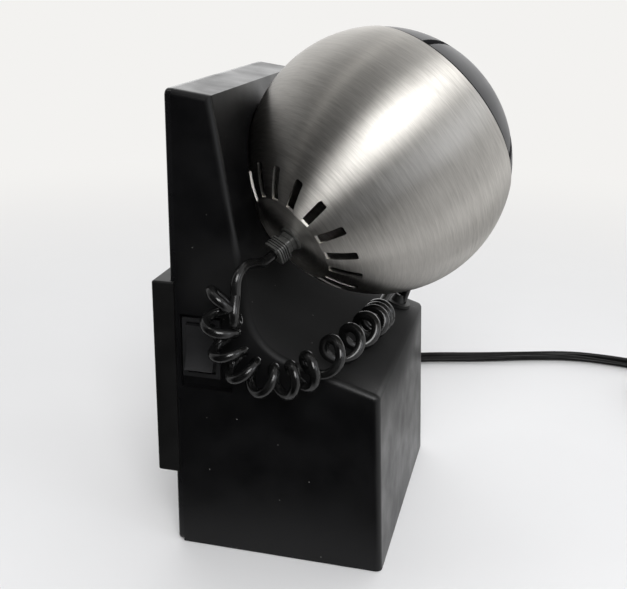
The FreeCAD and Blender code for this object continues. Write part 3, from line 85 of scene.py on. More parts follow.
# ---------------------------------------------------------------- colours and nodes

def linear(code):
    """An sRGB hex colour as the linear colour that shaders use."""
    channels = [int(code[i:i + 2], 16) / 255 for i in (0, 2, 4)]
    return tuple(c / 12.92 if c <= 0.04045 else ((c + 0.055) / 1.055) ** 2.4 for c in channels)


def add(tree, kind, links=None, **settings):
    """Adds a node, sets its settings and inputs, and joins outputs of other nodes to its inputs."""
    node = tree.nodes.new(kind)
    for name, value in settings.items():
        setattr(node, name, value)
    for key, value in (links or {}).items():
        socket = node.inputs[key]
        if isinstance(value, bpy.types.NodeSocket):
            tree.links.new(value, socket)
        else:
            opaque = socket.type == "RGBA" and len(value) == 3
            socket.default_value = (*value, 1) if opaque else value
    return node


def new_material(name):
    """An empty material with a surface shader on its output."""
    material = bpy.data.materials.new(name)
    material.use_nodes = True
    tree = material.node_tree
    tree.nodes.clear()
    output = add(tree, "ShaderNodeOutputMaterial")
    shader = add(tree, "ShaderNodeBsdfPrincipled")
    tree.links.new(shader.outputs[0], output.inputs[0])
    return material, tree, shader


def place_of(tree):
    return add(tree, "ShaderNodeTexCoord").outputs["Object"]


def noise(tree, where, size, detail=2.0, roughness=0.5, stretch=None):
    """Noise whose lumps are about size millimetres across."""
    if stretch:
        where = add(tree, "ShaderNodeVectorMath", {0: where, 1: stretch}, operation="MULTIPLY").outputs[0]
    links = {"Vector": where, "Scale": 1 / (size * MM), "Detail": detail, "Roughness": roughness}
    return add(tree, "ShaderNodeTexNoise", links).outputs[0]


def spread(tree, value, low, high, start=0.3, end=0.7):
    """The value from start to end, spread from low to high."""
    links = {0: value, 1: start, 2: end, 3: low, 4: high}
    return add(tree, "ShaderNodeMapRange", links).outputs[0]


def smooth_step(tree, value, start, end, low=0.0, high=1.0):
    """The value from start to end, spread from low to high with soft ends."""
    return add(tree, "ShaderNodeMapRange", {0: value, 1: start, 2: end, 3: low, 4: high},
               interpolation_type="SMOOTHSTEP").outputs[0]


def times(tree, first, second):
    return add(tree, "ShaderNodeMath", {0: first, 1: second}, operation="MULTIPLY").outputs[0]


def blend_colours(tree, share, first, second):
    links = {0: share, 6: first, 7: second}
    return add(tree, "ShaderNodeMix", links, data_type="RGBA").outputs[2]


def bumped(tree, height, distance):
    """The normal of a surface raised by up to distance millimetres."""
    links = {"Height": height, "Distance": distance * MM, "Strength": 1.0}
    return add(tree, "ShaderNodeBump", links).outputs[0]


def seen_directly(tree):
    """1 for rays from the camera or through glass, and 0 for all others."""
    path = add(tree, "ShaderNodeLightPath").outputs
    return add(tree, "ShaderNodeMath", {0: path["Is Camera Ray"], 1: path["Is Transmission Ray"]},
               operation="MAXIMUM").outputs[0]


# ---------------------------------------------------------------- finishes

def cove_painted_shade(tree, where):
    """The cove under the ball, given painted shade: darker and duller than the faces round it, where the ball
    shades it.
    """
    away = add(tree, "ShaderNodeVectorMath", {0: where, 1: BALL_CENTRE}, operation="DISTANCE")
    height = add(tree, "ShaderNodeSeparateXYZ", {0: where}).outputs[2]
    near = smooth_step(tree, away.outputs["Value"], 0.07, 0.095, 1, 0)
    return times(tree, near, smooth_step(tree, height, 0.105, 0.13, 1, 0))


def rim_painted_shadow(tree, where):
    """A painted shadow line for the gap between the steel rim and the front dome, along the dome's outer
    edge.
    """
    apart = add(tree, "ShaderNodeVectorMath", {0: where, 1: BALL_CENTRE}, operation="SUBTRACT")
    along = add(tree, "ShaderNodeVectorMath", {0: apart.outputs[0], 1: BALL_AXIS}, operation="DOT_PRODUCT")
    return smooth_step(tree, along.outputs["Value"], 0.0247, 0.025, 1, 0)


def moulded_abs(name, colour, grain=0.7, depth=0.02, low=0.28, high=0.42, dust=0.35, shine=0.3,
                shade_and_dull_zone=None):
    """Injection-moulded ABS from a spark-eroded mould: a fine even grain that breaks up the
    reflections, faint handling marks in its gloss, and specks of dust."""
    material, tree, shader = new_material(name)
    where = place_of(tree)
    marks = noise(tree, where, 14, detail=4)
    # The real grain is about 0.15 mm and is drawn coarser, so that it shows.
    texture = noise(tree, where, grain, detail=3, roughness=0.6)
    cells = add(tree, "ShaderNodeTexVoronoi", {"Vector": where, "Scale": 1 / (5.5 * MM)})
    near = add(tree, "ShaderNodeMath", {0: cells.outputs["Distance"], 1: 0.045}, operation="LESS_THAN")
    chosen = add(tree, "ShaderNodeSeparateColor", {0: cells.outputs["Color"]})
    few = add(tree, "ShaderNodeMath", {0: chosen.outputs[0], 1: dust}, operation="LESS_THAN")
    specks = times(tree, near.outputs[0], few.outputs[0])
    shade = tuple(c * 1.5 for c in linear(colour))
    plain = blend_colours(tree, spread(tree, marks, 0, 1), linear(colour), shade)
    dull = spread(tree, marks, low, high)
    # Painted shade: inside the zone the colour is darkened towards near black, and the surface is made fully
    # rough.
    if shade_and_dull_zone:
        zone = shade_and_dull_zone(tree, where)
        plain = blend_colours(tree, zone, plain, linear("050505"))
        dull = add(tree, "ShaderNodeMix", {0: zone, 2: dull, 3: 1.0}).outputs[0]
    colour_out = blend_colours(tree, specks, plain, linear("5a5a58"))
    tree.links.new(colour_out, shader.inputs["Base Color"])
    tree.links.new(dull, shader.inputs["Roughness"])
    tree.links.new(bumped(tree, texture, depth), shader.inputs["Normal"])
    shader.inputs["IOR"].default_value = 1.53
    # The grain hides part of the shine.
    shader.inputs["Specular IOR Level"].default_value = shine
    return material


def glossy_pvc(name, colour, low=0.12, high=0.26, shine=0.4):
    """Extruded soft PVC of a cord: smooth and glossy, slightly uneven, with thin drag lines."""
    material, tree, shader = new_material(name)
    where = place_of(tree)
    uneven = noise(tree, where, 6, detail=3)
    skin = noise(tree, where, 1.2, detail=2)
    shade = blend_colours(tree, spread(tree, uneven, 0, 1), linear(colour), linear("161616"))
    tree.links.new(shade, shader.inputs["Base Color"])
    tree.links.new(spread(tree, uneven, low, high), shader.inputs["Roughness"])
    tree.links.new(bumped(tree, skin, 0.02), shader.inputs["Normal"])
    shader.inputs["IOR"].default_value = 1.54
    shader.inputs["Specular IOR Level"].default_value = shine
    return material


def soft_rubber(name, colour, roughness=0.55):
    """Moulded rubber: dull, with a slight bloom that greys it unevenly."""
    material, tree, shader = new_material(name)
    where = place_of(tree)
    bloom = noise(tree, where, 3, detail=4)
    grit = noise(tree, where, 0.5, detail=2)
    shade = blend_colours(tree, spread(tree, bloom, 0, 1), linear(colour), linear("2c2c2b"))
    tree.links.new(shade, shader.inputs["Base Color"])
    tree.links.new(spread(tree, bloom, roughness - 0.1, roughness + 0.12), shader.inputs["Roughness"])
    tree.links.new(bumped(tree, grit, 0.02), shader.inputs["Normal"])
    shader.inputs["IOR"].default_value = 1.52
    return material


def spun_steel(name):
    """Stainless steel sheet, spun to a ball and brushed as it turned: fine scratches run round
    the ball's axis, so lights stretch into bands from pole to mouth."""
    material, tree, shader = new_material(name)
    centred = add(tree, "ShaderNodeVectorMath", {0: place_of(tree), 1: BALL_CENTRE}, operation="SUBTRACT")
    turn = IN_BALL.to_quaternion().inverted().to_euler()
    # The position in the ball's own frame, with Z along its axis.
    local = add(tree, "ShaderNodeMapping", {0: centred.outputs[0], 2: tuple(turn)}, vector_type="POINT")
    parts = add(tree, "ShaderNodeSeparateXYZ", {0: local.outputs[0]})
    x, y, z = parts.outputs
    squares = [add(tree, "ShaderNodeMath", {0: v, 1: v}, operation="MULTIPLY").outputs[0] for v in (x, y)]
    total = add(tree, "ShaderNodeMath", {0: squares[0], 1: squares[1]}, operation="ADD").outputs[0]
    reach = add(tree, "ShaderNodeMath", {0: total}, operation="SQRT").outputs[0]
    # The angle from the axis grows evenly along the sheet, so the scratches stay even.
    latitude = add(tree, "ShaderNodeMath", {0: reach, 1: z}, operation="ARCTAN2").outputs[0]

    def scratches(width, run, detail):
        """Lines about width millimetres apart and run millimetres long."""
        along = add(tree, "ShaderNodeVectorMath", {0: local.outputs[0], "Scale": 1 / (run * MM)},
                    operation="SCALE")
        flat = add(tree, "ShaderNodeSeparateXYZ", {0: along.outputs[0]})
        across = add(tree, "ShaderNodeMath", {0: latitude, 1: 50 / width}, operation="MULTIPLY")
        joined = add(tree, "ShaderNodeCombineXYZ",
                     {0: flat.outputs[0], 1: flat.outputs[1], 2: across.outputs[0]})
        return add(tree, "ShaderNodeTexNoise",
                   {"Vector": joined.outputs[0], "Scale": 1.0, "Detail": detail}).outputs[0]

    # Real scratches are about 0.1 mm apart; these are coarser, so that they show.
    fine = scratches(0.28, 5, 2)
    coarse = scratches(0.9, 14, 3)
    cloudy = noise(tree, local.outputs[0], 18, detail=3)
    lines = add(tree, "ShaderNodeMath", {0: fine, 1: coarse}, operation="ADD").outputs[0]
    tone = blend_colours(tree, spread(tree, lines, 0, 1, 0.6, 1.4), linear("b4b1ac"), linear("dad7d2"))
    tree.links.new(tone, shader.inputs["Base Color"])
    gloss = add(tree, "ShaderNodeMath", {0: cloudy, 1: lines}, operation="ADD").outputs[0]
    tree.links.new(spread(tree, gloss, 0.42, 0.52, 1.1, 1.9), shader.inputs["Roughness"])
    tree.links.new(bumped(tree, fine, 0.0018), shader.inputs["Normal"])
    axis = add(tree, "ShaderNodeVectorTransform", {0: BALL_AXIS},
               vector_type="VECTOR", convert_from="OBJECT", convert_to="WORLD")
    tree.links.new(axis.outputs[0], shader.inputs["Tangent"])
    shader.inputs["Metallic"].default_value = 1.0
    shader.inputs["Anisotropic"].default_value = 0.95
    return material


def plain_metal(name, colour, second, low, high, size=4.0):
    """Rolled or plated metal: a slightly clouded tone and gloss, with rolling marks."""
    material, tree, shader = new_material(name)
    where = place_of(tree)
    clouds = noise(tree, where, size, detail=4)
    marks = noise(tree, where, 0.6, detail=2, stretch=(1, 1, 0.1))
    shade = blend_colours(tree, spread(tree, clouds, 0, 1), linear(colour), linear(second))
    tree.links.new(shade, shader.inputs["Base Color"])
    tree.links.new(spread(tree, clouds, low, high), shader.inputs["Roughness"])
    tree.links.new(bumped(tree, marks, 0.01), shader.inputs["Normal"])
    shader.inputs["Metallic"].default_value = 1.0
    return material


def layered(name, colour, second, pitch, direction, roughness, metallic):
    """Parts built up of equal layers or turns, such as sheet laminations or wound wire, which
    show as fine lines a pitch apart."""
    material, tree, shader = new_material(name)
    where = place_of(tree)
    # A wave's bands are 2 pi / 20 of its unit apart.
    wave = add(tree, "ShaderNodeTexWave", {"Vector": where, "Scale": FULL_TURN / 20 / (pitch * MM),
                                           "Distortion": 0.4, "Detail": 1.0},
               bands_direction=direction, wave_profile="SIN").outputs[1]
    stains = noise(tree, where, 7, detail=4)
    share = times(tree, wave, stains)
    shade = blend_colours(tree, share, linear(colour), linear(second))
    tree.links.new(shade, shader.inputs["Base Color"])
    tree.links.new(spread(tree, stains, roughness, roughness + 0.15), shader.inputs["Roughness"])
    tree.links.new(bumped(tree, wave, pitch * 0.15), shader.inputs["Normal"])
    shader.inputs["Metallic"].default_value = metallic
    return material


def sintered(name, colour, second, roughness, grain=0.8, ior=1.5):
    """Pressed and fired or cured material, such as ferrite, phenolic or nylon: fine grain and a
    faintly mottled tone."""
    material, tree, shader = new_material(name)
    where = place_of(tree)
    mottle = noise(tree, where, 3, detail=4)
    grit = noise(tree, where, grain, detail=2)
    shade = blend_colours(tree, spread(tree, mottle, 0, 1), linear(colour), linear(second))
    tree.links.new(shade, shader.inputs["Base Color"])
    tree.links.new(spread(tree, mottle, roughness, roughness + 0.15), shader.inputs["Roughness"])
    tree.links.new(bumped(tree, grit, 0.02), shader.inputs["Normal"])
    shader.inputs["IOR"].default_value = ior
    return material


def clear_glass(name):
    """Blown soda-lime glass of a bulb: clear and slightly wavy."""
    material, tree, shader = new_material(name)
    waves = noise(tree, place_of(tree), 5, detail=1)
    tree.links.new(spread(tree, waves, 0.01, 0.05), shader.inputs["Roughness"])
    tree.links.new(bumped(tree, waves, 0.05), shader.inputs["Normal"])
    shader.inputs["Base Color"].default_value = (*linear("f4f6f4"), 1)
    shader.inputs["Transmission Weight"].default_value = 1.0
    shader.inputs["IOR"].default_value = 1.5
    return material


def make_finishes():
    """Every finish of the lamp by its name."""
    return {
        # The housing gets painted shade in the cove under the ball, and the bezel a painted shadow line at
        # its rim.
        "housing": moulded_abs("moulded_abs_black", "070708", shine=0.27, shade_and_dull_zone=cove_painted_shade),
        "cover": moulded_abs("moulded_abs_cover", "0c0c0d", grain=1.0, low=0.22, high=0.34),
        "bracket": moulded_abs("moulded_abs_bracket", "0b0b0b", grain=0.9, low=0.4, high=0.55, shine=0.2),
        "switch": moulded_abs("moulded_abs_switch", "19191a", grain=0.6, low=0.26, high=0.34, dust=0.2,
                              shine=0.5),
        "bezel": moulded_abs("moulded_abs_bezel", "252527", grain=1.4, depth=0.008, low=0.38, high=0.48,
                             dust=0.1, shine=0.3, shade_and_dull_zone=rim_painted_shadow),
        "baffle": moulded_abs("moulded_abs_baffle", "0a0a0a", low=0.55, high=0.7, dust=0.1),
        "plug": moulded_abs("moulded_pvc_plug", "0e0e0f", grain=0.8, low=0.35, high=0.45),
        "curls": glossy_pvc("extruded_pvc_curls", "060606"),
        "flex": glossy_pvc("extruded_pvc_flex", "080808", 0.28, 0.4, 0.15),
        "rubber": soft_rubber("moulded_rubber", "141414"),
        "relief": soft_rubber("moulded_rubber_relief", "4a4a48", 0.36),
        "steel": spun_steel("spun_stainless_steel"),
        "zinc": plain_metal("zinc_plated_steel", "8f9196", "b9bbbd", 0.25, 0.4),
        "nickel": plain_metal("nickel_plated_cap", "a8a39a", "cac5ba", 0.2, 0.34),
        "brass": plain_metal("rolled_brass", "a88a45", "c9ac66", 0.22, 0.38),
        "mirror": plain_metal("polished_aluminium", "d6d7d8", "e6e7e8", 0.06, 0.14, 10),
        "tungsten": plain_metal("tungsten_wire", "5c5a58", "7a7875", 0.3, 0.45),
        "core": layered("laminated_iron", "3f3d3b", "6f6b66", 1.0, "X", 0.45, 0.8),
        "winding": layered("enamelled_copper", "5a2310", "a4522a", 1.0, "Z", 0.25, 0.6),
        "ferrite": sintered("pressed_ferrite", "1d1d1f", "2c2c2e", 0.5),
        "nylon": sintered("moulded_nylon", "cfcabb", "dfdacb", 0.35, ior=1.53),
        "phenolic": sintered("moulded_phenolic", "14110f", "241e1a", 0.3, ior=1.6),
        "glass": clear_glass("blown_glass"),
    }


NODE_FINISHES = {
    "housing": "housing", "back_cover": "cover", "wall_bracket": "bracket", "hanger_studs": "zinc",
    "base_pad": "rubber", "transformer_core": "core", "transformer_coil": "winding",
    "transformer_clamp": "zinc", "clamp_screws": "zinc", "switch_case": "switch",
    "switch_terminals": "brass", "rocker_pin": "zinc", "rocker": "switch", "magnet_cup": "zinc",
    "magnet": "ferrite", "curly_gland": "rubber", "mains_bushing": "rubber", "plug_pins": "brass",
    "seat_ring": "nylon", "ball_shell": "steel", "front_bezel": "bezel", "glare_ring": "baffle",
    "reflector": "mirror", "bulb_cap": "nickel", "lamp_holder": "phenolic", "lamp_carrier": "zinc",
    "relief_nut": "zinc", "cover_screws": "zinc", "bulb_glass": "glass", "strain_relief": "relief",
    "plug_body": "plug",
}
FINISHES = {}


# ---------------------------------------------------------------- curves and meshes

def spline_curve(name, points, tilts=None, steps=8):
    """A smooth curve whose control points are the route's points."""
    curve = bpy.data.curves.new(name, "CURVE")
    curve.dimensions = "3D"
    spline = curve.splines.new("NURBS")
    spline.points.add(len(points) - 1)
    for index, place in enumerate(points):
        spline.points[index].co = (*place, 1)
        if tilts:
            spline.points[index].tilt = tilts[index]
    spline.order_u = 3
    spline.use_endpoint_u = True
    spline.resolution_u = steps
    return curve


def mesh_of(curve):
    """The mesh of a curve, which is gone afterwards."""
    holder = bpy.data.objects.new("tube", curve)
    bpy.context.scene.collection.objects.link(holder)
    mesh = bpy.data.meshes.new_from_object(holder.evaluated_get(bpy.context.evaluated_depsgraph_get()))
    bpy.data.objects.remove(holder)
    bpy.data.curves.remove(curve)
    return mesh


def line_of(points, steps=8):
    """Points read along the route's own smooth curve, which has no bevel."""
    mesh = mesh_of(spline_curve("route", points, steps=steps))
    line = [vertex.co.copy() for vertex in mesh.vertices]
    bpy.data.meshes.remove(mesh)
    return line


def lengths_along(line):
    """How far along the line each of its points is."""
    reached = [0.0]
    for before, after in zip(line, line[1:]):
        reached.append(reached[-1] + (after - before).length)
    return reached


def show(name, mesh, finish, body, stands_for=()):
    """Puts a finished mesh into the scene as a piece that rides on a body."""
    mesh.name = name
    mesh.materials.clear()
    mesh.materials.append(FINISHES[finish])
    piece = bpy.data.objects.new(name, mesh)
    bpy.context.scene.collection.objects.link(piece)
    if body:
        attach(piece, body)
    if stands_for:
        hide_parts(*stands_for)
    return piece


def smoothed(mesh, angle=40):
    """Shades the mesh smooth except at edges sharper than the angle."""
    for face in mesh.polygons:
        face.use_smooth = True
    mesh.set_sharp_from_angle(angle=math.radians(angle))
    return mesh


def finished(form, where=None):
    """A mesh from a bmesh in millimetres, put in its place in metres."""
    bmesh.ops.remove_doubles(form, verts=form.verts, dist=0.001)
    bmesh.ops.recalc_face_normals(form, faces=form.faces)
    bmesh.ops.scale(form, vec=(MM, MM, MM), verts=form.verts)
    if where:
        bmesh.ops.transform(form, matrix=where, verts=form.verts)
    mesh = bpy.data.meshes.new("piece")
    form.to_mesh(mesh)
    form.free()
    return smoothed(mesh)


def turn_profile(form, profile, steps=48):
    """Spins a profile of (radius, height) points about the Z axis."""
    corners = [form.verts.new((radius, 0, height)) for radius, height in profile]
    edges = [form.edges.new(pair) for pair in zip(corners, corners[1:])]
    bmesh.ops.spin(form, geom=corners + edges, cent=(0, 0, 0), axis=(0, 0, 1), angle=FULL_TURN,
                   steps=steps, use_merge=True)


def loft(form, sections, ends=True):
    """A body through rounded rectangles, each given as (level, width, depth, corner radius)."""
    rims = []
    for index, (level, width, depth, corner) in enumerate(sections):
        verts = bmesh.ops.create_grid(form, x_segments=1, y_segments=1, size=0.5)["verts"]
        bmesh.ops.scale(form, vec=(width, depth, 1), verts=verts)
        bmesh.ops.translate(form, vec=(0, 0, level), verts=verts)
        rounded = bmesh.ops.bevel(form, geom=verts, offset=corner, offset_type="OFFSET", segments=4,
                                  profile=0.5, affect="VERTICES", material=-1)["verts"]
        face = rounded[0].link_faces[0]
        rims.append(face.edges[:])
        if not ends or 0 < index < len(sections) - 1:
            bmesh.ops.delete(form, geom=[face], context="FACES_ONLY")
    for near, far in zip(rims, rims[1:]):
        bmesh.ops.bridge_loops(form, edges=near + far)


# ---------------------------------------------------------------- settings

class LampSettings(bpy.types.PropertyGroup):
    wire_diameter: FloatProperty(
        name="Curly wire", description="Diameter of the curly cord's wire",
        default=0.0037, unit="LENGTH")
    curl_radius: FloatProperty(
        name="Curl radius", description="Middle of the curls to the middle of the wire",
        default=0.0052, unit="LENGTH")
    flex_width: FloatProperty(
        name="Flex width", description="Width of the flat twin mains flex",
        default=0.0056, unit="LENGTH")
    flex_height: FloatProperty(
        name="Flex thickness", description="Thickness of the flat twin mains flex",
        default=0.0030, unit="LENGTH")
    coil_turns: FloatProperty(
        name="Coil turns", description="Turns of the put-away mains flex",
        default=6.2444)
    floor_colour: FloatVectorProperty(
        name="Floor", description="Colour of the floor", subtype="COLOR",
        default=linear("e4e4e5"))
    backdrop_colour: FloatVectorProperty(
        name="Backdrop", description="Colour behind the lamp", subtype="COLOR",
        default=linear("f3f2f0"))


# ---------------------------------------------------------------- stage

CAMERA_PLACE = mm(86.63, -351.97, 213.33)
CAMERA_AZIMUTH, CAMERA_ELEVATION, CAMERA_ROLL = (math.radians(a) for a in (13.91, 18.97, 0.97))
# Focal length and sensor width in millimetres.
CAMERA_LENS, CAMERA_SENSOR = 54.49, 36
# Where the room's dark near side and its bright far wall lie, seen from the lamp.
DARK_SIDE = Vector((-0.35, -0.93, 0)).normalized()
BRIGHT_SIDE = Vector((-0.2, 0.92, 0.33)).normalized()
# Name, direction from the ball, distance, size, power and colour.
LIGHTS = (
    ("window", (0.22, -0.77, 0.62), 1.5, 0.8, 18.0, "ffffff"),
    ("doorway", (0.86, -0.36, 0.36), 1.5, 0.55, 2.2, "f2f7ff"),
    ("ceiling", (-0.41, -0.12, 0.9), 1.6, 0.12, 0.5, "fffdf8"),
)


def make_world(settings):
    """A pale room whose near side is dark and whose far wall is bright."""
    world = bpy.data.worlds.new("room")
    bpy.context.scene.world = world
    world.use_nodes = True
    tree = world.node_tree
    tree.nodes.clear()
    heading = add(tree, "ShaderNodeTexCoord").outputs["Generated"]
    near, far, right, above = (
        add(tree, "ShaderNodeVectorMath", {0: heading, 1: side}, operation="DOT_PRODUCT").outputs["Value"]
        for side in (DARK_SIDE, BRIGHT_SIDE, Vector((1, 0, 0)), Vector((0, 0, 1))))
    walls = smooth_step(tree, right, -0.7, 0.9, 0.5, 0.9)
    # Uneven walls give the steel its soft streaks.
    patches = add(tree, "ShaderNodeTexNoise", {"Vector": heading, "Scale": 4.0, "Detail": 2.0}).outputs[0]
    walls = times(tree, walls, spread(tree, patches, 0.45, 1.45))
    # The far wall is bright only above the floor.
    bright = times(tree, smooth_step(tree, far, 0.6, 0.97, 0, 1.2), smooth_step(tree, above, -0.3, 0.05))
    wall = add(tree, "ShaderNodeMath", {0: walls, 1: bright}).outputs[0]
    light = times(tree, wall, smooth_step(tree, near, 0.3, 0.68, 1.0, 0.02))
    room = add(tree, "ShaderNodeBackground", {0: (1, 1, 1, 1), 1: light})
    backdrop = add(tree, "ShaderNodeBackground", {0: tuple(settings.backdrop_colour), 1: 1.0})
    links = {0: seen_directly(tree), 1: room.outputs[0], 2: backdrop.outputs[0]}
    mixed = add(tree, "ShaderNodeMixShader", links)
    add(tree, "ShaderNodeOutputWorld", {0: mixed.outputs[0]})


def make_floor(settings):
    """A plain painted floor that fades into the backdrop away from the lamp."""
    form = bmesh.new()
    bmesh.ops.create_circle(form, cap_ends=True, segments=96, radius=12)
    mesh = bpy.data.meshes.new("floor")
    form.to_mesh(mesh)
    form.free()
    material, tree, shader = new_material("painted_floor")
    FINISHES["floor"] = material
    where = place_of(tree)
    away = add(tree, "ShaderNodeVectorMath", {0: where}, operation="LENGTH").outputs["Value"]
    mottle = noise(tree, where, 60, detail=4)
    shade = tuple(c * 0.97 for c in settings.floor_colour)
    paint = blend_colours(tree, mottle, tuple(settings.floor_colour), shade)
    tree.links.new(paint, shader.inputs["Base Color"])
    shader.inputs["Roughness"].default_value = 0.7
    shader.inputs["Specular IOR Level"].default_value = 0.3
    # Away from the lamp the eye sees the backdrop, and mirrored rays pass on to the room.
    share = times(tree, smooth_step(tree, away, 0.2, 0.75), seen_directly(tree))
    glow = add(tree, "ShaderNodeEmission", {0: tuple(settings.backdrop_colour), 1: 1.0})
    clear = add(tree, "ShaderNodeBsdfTransparent")
    mirrored = add(tree, "ShaderNodeLightPath").outputs["Is Glossy Ray"]
    passed = times(tree, smooth_step(tree, away, 0.055, 0.11), mirrored)
    mixed = add(tree, "ShaderNodeMixShader", {0: share, 1: shader.outputs[0], 2: glow.outputs[0]})
    mixed = add(tree, "ShaderNodeMixShader", {0: passed, 1: mixed.outputs[0], 2: clear.outputs[0]})
    output = next(node for node in tree.nodes if node.type == "OUTPUT_MATERIAL")
    tree.links.new(mixed.outputs[0], output.inputs[0])
    show("floor", mesh, "floor", None)


class LAMP_OT_stage(bpy.types.Operator):
    """Makes the camera, the floor, the room's light and three lamps"""
    bl_idname = "lamp.stage"
    bl_label = "Stage"

    def execute(self, context):
        scene = context.scene
        settings = scene.lamp_settings
        lens = bpy.data.cameras.new("camera")
        lens.lens = CAMERA_LENS
        lens.sensor_width = CAMERA_SENSOR
        lens.clip_end = 100
        camera = bpy.data.objects.new("camera", lens)
        scene.collection.objects.link(camera)
        camera.location = CAMERA_PLACE
        flat = math.cos(CAMERA_ELEVATION)
        back = Vector((math.sin(CAMERA_AZIMUTH) * flat, -math.cos(CAMERA_AZIMUTH) * flat,
                       math.sin(CAMERA_ELEVATION)))
        camera.rotation_mode = "QUATERNION"
        camera.rotation_quaternion = back.to_track_quat("Z", "Y") @ Quaternion((0, 0, 1), CAMERA_ROLL)
        scene.camera = camera
        scene.view_settings.view_transform = "Standard"
        make_world(settings)
        make_floor(settings)
        for name, direction, distance, size, power, colour in LIGHTS:
            light = bpy.data.lights.new(name, "AREA")
            light.shape = "RECTANGLE"
            light.size, light.size_y = size, size
            light.energy = power
            light.color = linear(colour)
            lamp = bpy.data.objects.new(name, light)
            scene.collection.objects.link(lamp)
            heading = Vector(direction).normalized()
            lamp.location = BALL_CENTRE + heading * distance
            lamp.rotation_mode = "QUATERNION"
            lamp.rotation_quaternion = heading.to_track_quat("Z", "Y")
        return {"FINISHED"}


# ---------------------------------------------------------------- cords

# Middle line of the curls, from the ball's side to the gland's.
CURL_ROUTE = [mm(*point) for point in (
    (-14.6, -61.0, 110.0), (-18.4, -61.6, 104.6), (-18.7, -62.0, 97.5), (-17.2, -62.1, 90.2),
    (-14.2, -62.1, 83.6), (-7.2, -62.1, 78.4), (1.6, -62.1, 76.6), (9.6, -61.9, 79.4),
    (15.2, -60.0, 83.6), (18.6, -53.2, 85.6), (20.4, -44.0, 84.4), (22.8, -29.0, 83.4),
    (24.9, -14.0, 82.8), (26.5, 1.0, 82.2), (27.3, 14.0, 82.0),
)]
# Each turn, how far along the middle line it passes the near side, and its lean in degrees.
TURN_PLACES = (
    (0.25, 0.016, -8), (1, 0.039, -8), (2, 0.1215, 0), (3, 0.192, -6), (4, 0.2466, 18),
    (5, 0.311, 34), (6, 0.378, 36), (7, 0.426, 32), (8, 0.500, 16), (9, 0.640, 8), (10, 0.769, 8),
    (11, 0.848, 6), (12, 0.878, 4), (13, 0.907, 2), (13.35, 0.918, 0),
)
CURL_FRONT = Vector((0.227, -0.918, 0.325))
POINTS_PER_TURN = 16
# Plain ends of the curly cord; two pieces meet end to end, because the ball moves on its own.
BALL_LEAD = [mm(*point) for point in (
    (-12.0, -63.0, 97.1), (-12.05, -64.7, 98.6), (-12.15, -65.0, 100.7), (-12.3, -64.2, 102.8),
    (-12.6, -62.6, 104.9), (-12.85, -60.9, 107.0),
)]
# The first half turn starts this much lower than the middle line says, and smaller.
START_TURNS, START_REACH = 0.5, 0.85
FIRST_DROP = mm(0, 0, -9.0)
# The curls towards the gland are wound a little tighter, from this turn on.
TIGHT_TURN, TIGHT_REACH = 8.5, 0.94
HEAD_LEAD = [mm(*point) for point in (
    (-12.85, -60.9, 107.0), (-13.0, -60.4, 109.6), (-12.9, -59.6, 112.6), (-12.3, -57.2, 115.0),
    (-11.2, -53.0, 116.2), (-9.8, -46.0, 114.6), (-8.6, -40.6, 113.2), (-3.1, -33.2, 118.8),
)]
GLAND_LEAD = [mm(*point) for point in (
    (21.6, 6.6, 78.6), (22.2, 11.6, 78.4), (23.8, 18.0, 80.2), (25.4, 24.0, 83.0), (27.2, 30.0, 85.4),
    (29.8, 35.6, 86.2), (32.2, 39.6, 83.2), (30.6, 40.0, 78.0), (27.6, 40.0, 68.0),
)]
# The mains flex on the table, and how far its flat side is turned up at each point.
MAINS_ROUTE = [mm(*point) for point in (
    (-14.0, 54.75, 14.0), (-14.0, 86.75, 14.0), (-11.8, 108.0, 8.8), (-7.6, 127.0, 3.4),
    (5.6, 142.5, 3.1), (28.0, 153.6, 3.1), (57.0, 161.4, 3.1), (84.0, 171.6, 3.1),
    (109.0, 179.2, 3.1), (131.0, 179.0, 3.1), (152.0, 175.4, 3.1), (174.0, 171.0, 3.1),
)]
MAINS_TILTS = (0, 0, 20, 50, 60, 62, 50, 12, 50, 70, 80, 88)
MAINS_LEAD = [mm(*point) for point in (
    (233.9, 121.0, 8.7), (231.0, 112.0, 7.5), (228.3, 103.0, 6.8), (228.0, 94.0, 6.8), (228.0, 80.0, 6.8),
)]
MAINS_LEAD_TILTS = (60, 30, 0, 0, 0)


def turn_at(turn):
    """How far along the middle line the wire is after that many turns, and its lean."""
    for (t0, s0, a0), (t1, s1, a1) in zip(TURN_PLACES, TURN_PLACES[1:]):
        if turn <= t1:
            share = (turn - t0) / (t1 - t0)
            return s0 + (s1 - s0) * share, math.radians(a0 + (a1 - a0) * share)
    return TURN_PLACES[-1][1], math.radians(TURN_PLACES[-1][2])


def curl_points(radius):
    """The wire of the left-hand curls round their middle line."""
    line = line_of(CURL_ROUTE, steps=24)
    reached = lengths_along(line)
    first, last = TURN_PLACES[0][0], TURN_PLACES[-1][0]
    count = round((last - first) * POINTS_PER_TURN)
    points = []
    for index in range(count + 1):
        turn = first + (last - first) * index / count
        place, lean = turn_at(turn)
        along = place * reached[-1]
        k = next(i for i in range(1, len(reached)) if reached[i] >= along or i == len(reached) - 1)
        share = (along - reached[k - 1]) / (reached[k] - reached[k - 1])
        middle = line[k - 1].lerp(line[k], share)
        heading = (line[k] - line[k - 1]).normalized()
        front = (CURL_FRONT - heading * CURL_FRONT.dot(heading)).normalized()
        side = heading.cross(front)
        swing = turn * FULL_TURN
        grown = min((turn - first) / START_TURNS, 1)
        tight = TIGHT_REACH if turn > TIGHT_TURN else 1
        reach = radius * (START_REACH + (1 - START_REACH) * grown) * tight
        nearest = (front * math.cos(lean) + heading * math.sin(lean)) * math.cos(swing)
        points.append(middle + (nearest - side * math.sin(swing)) * reach + FIRST_DROP * (1 - grown))
    return points


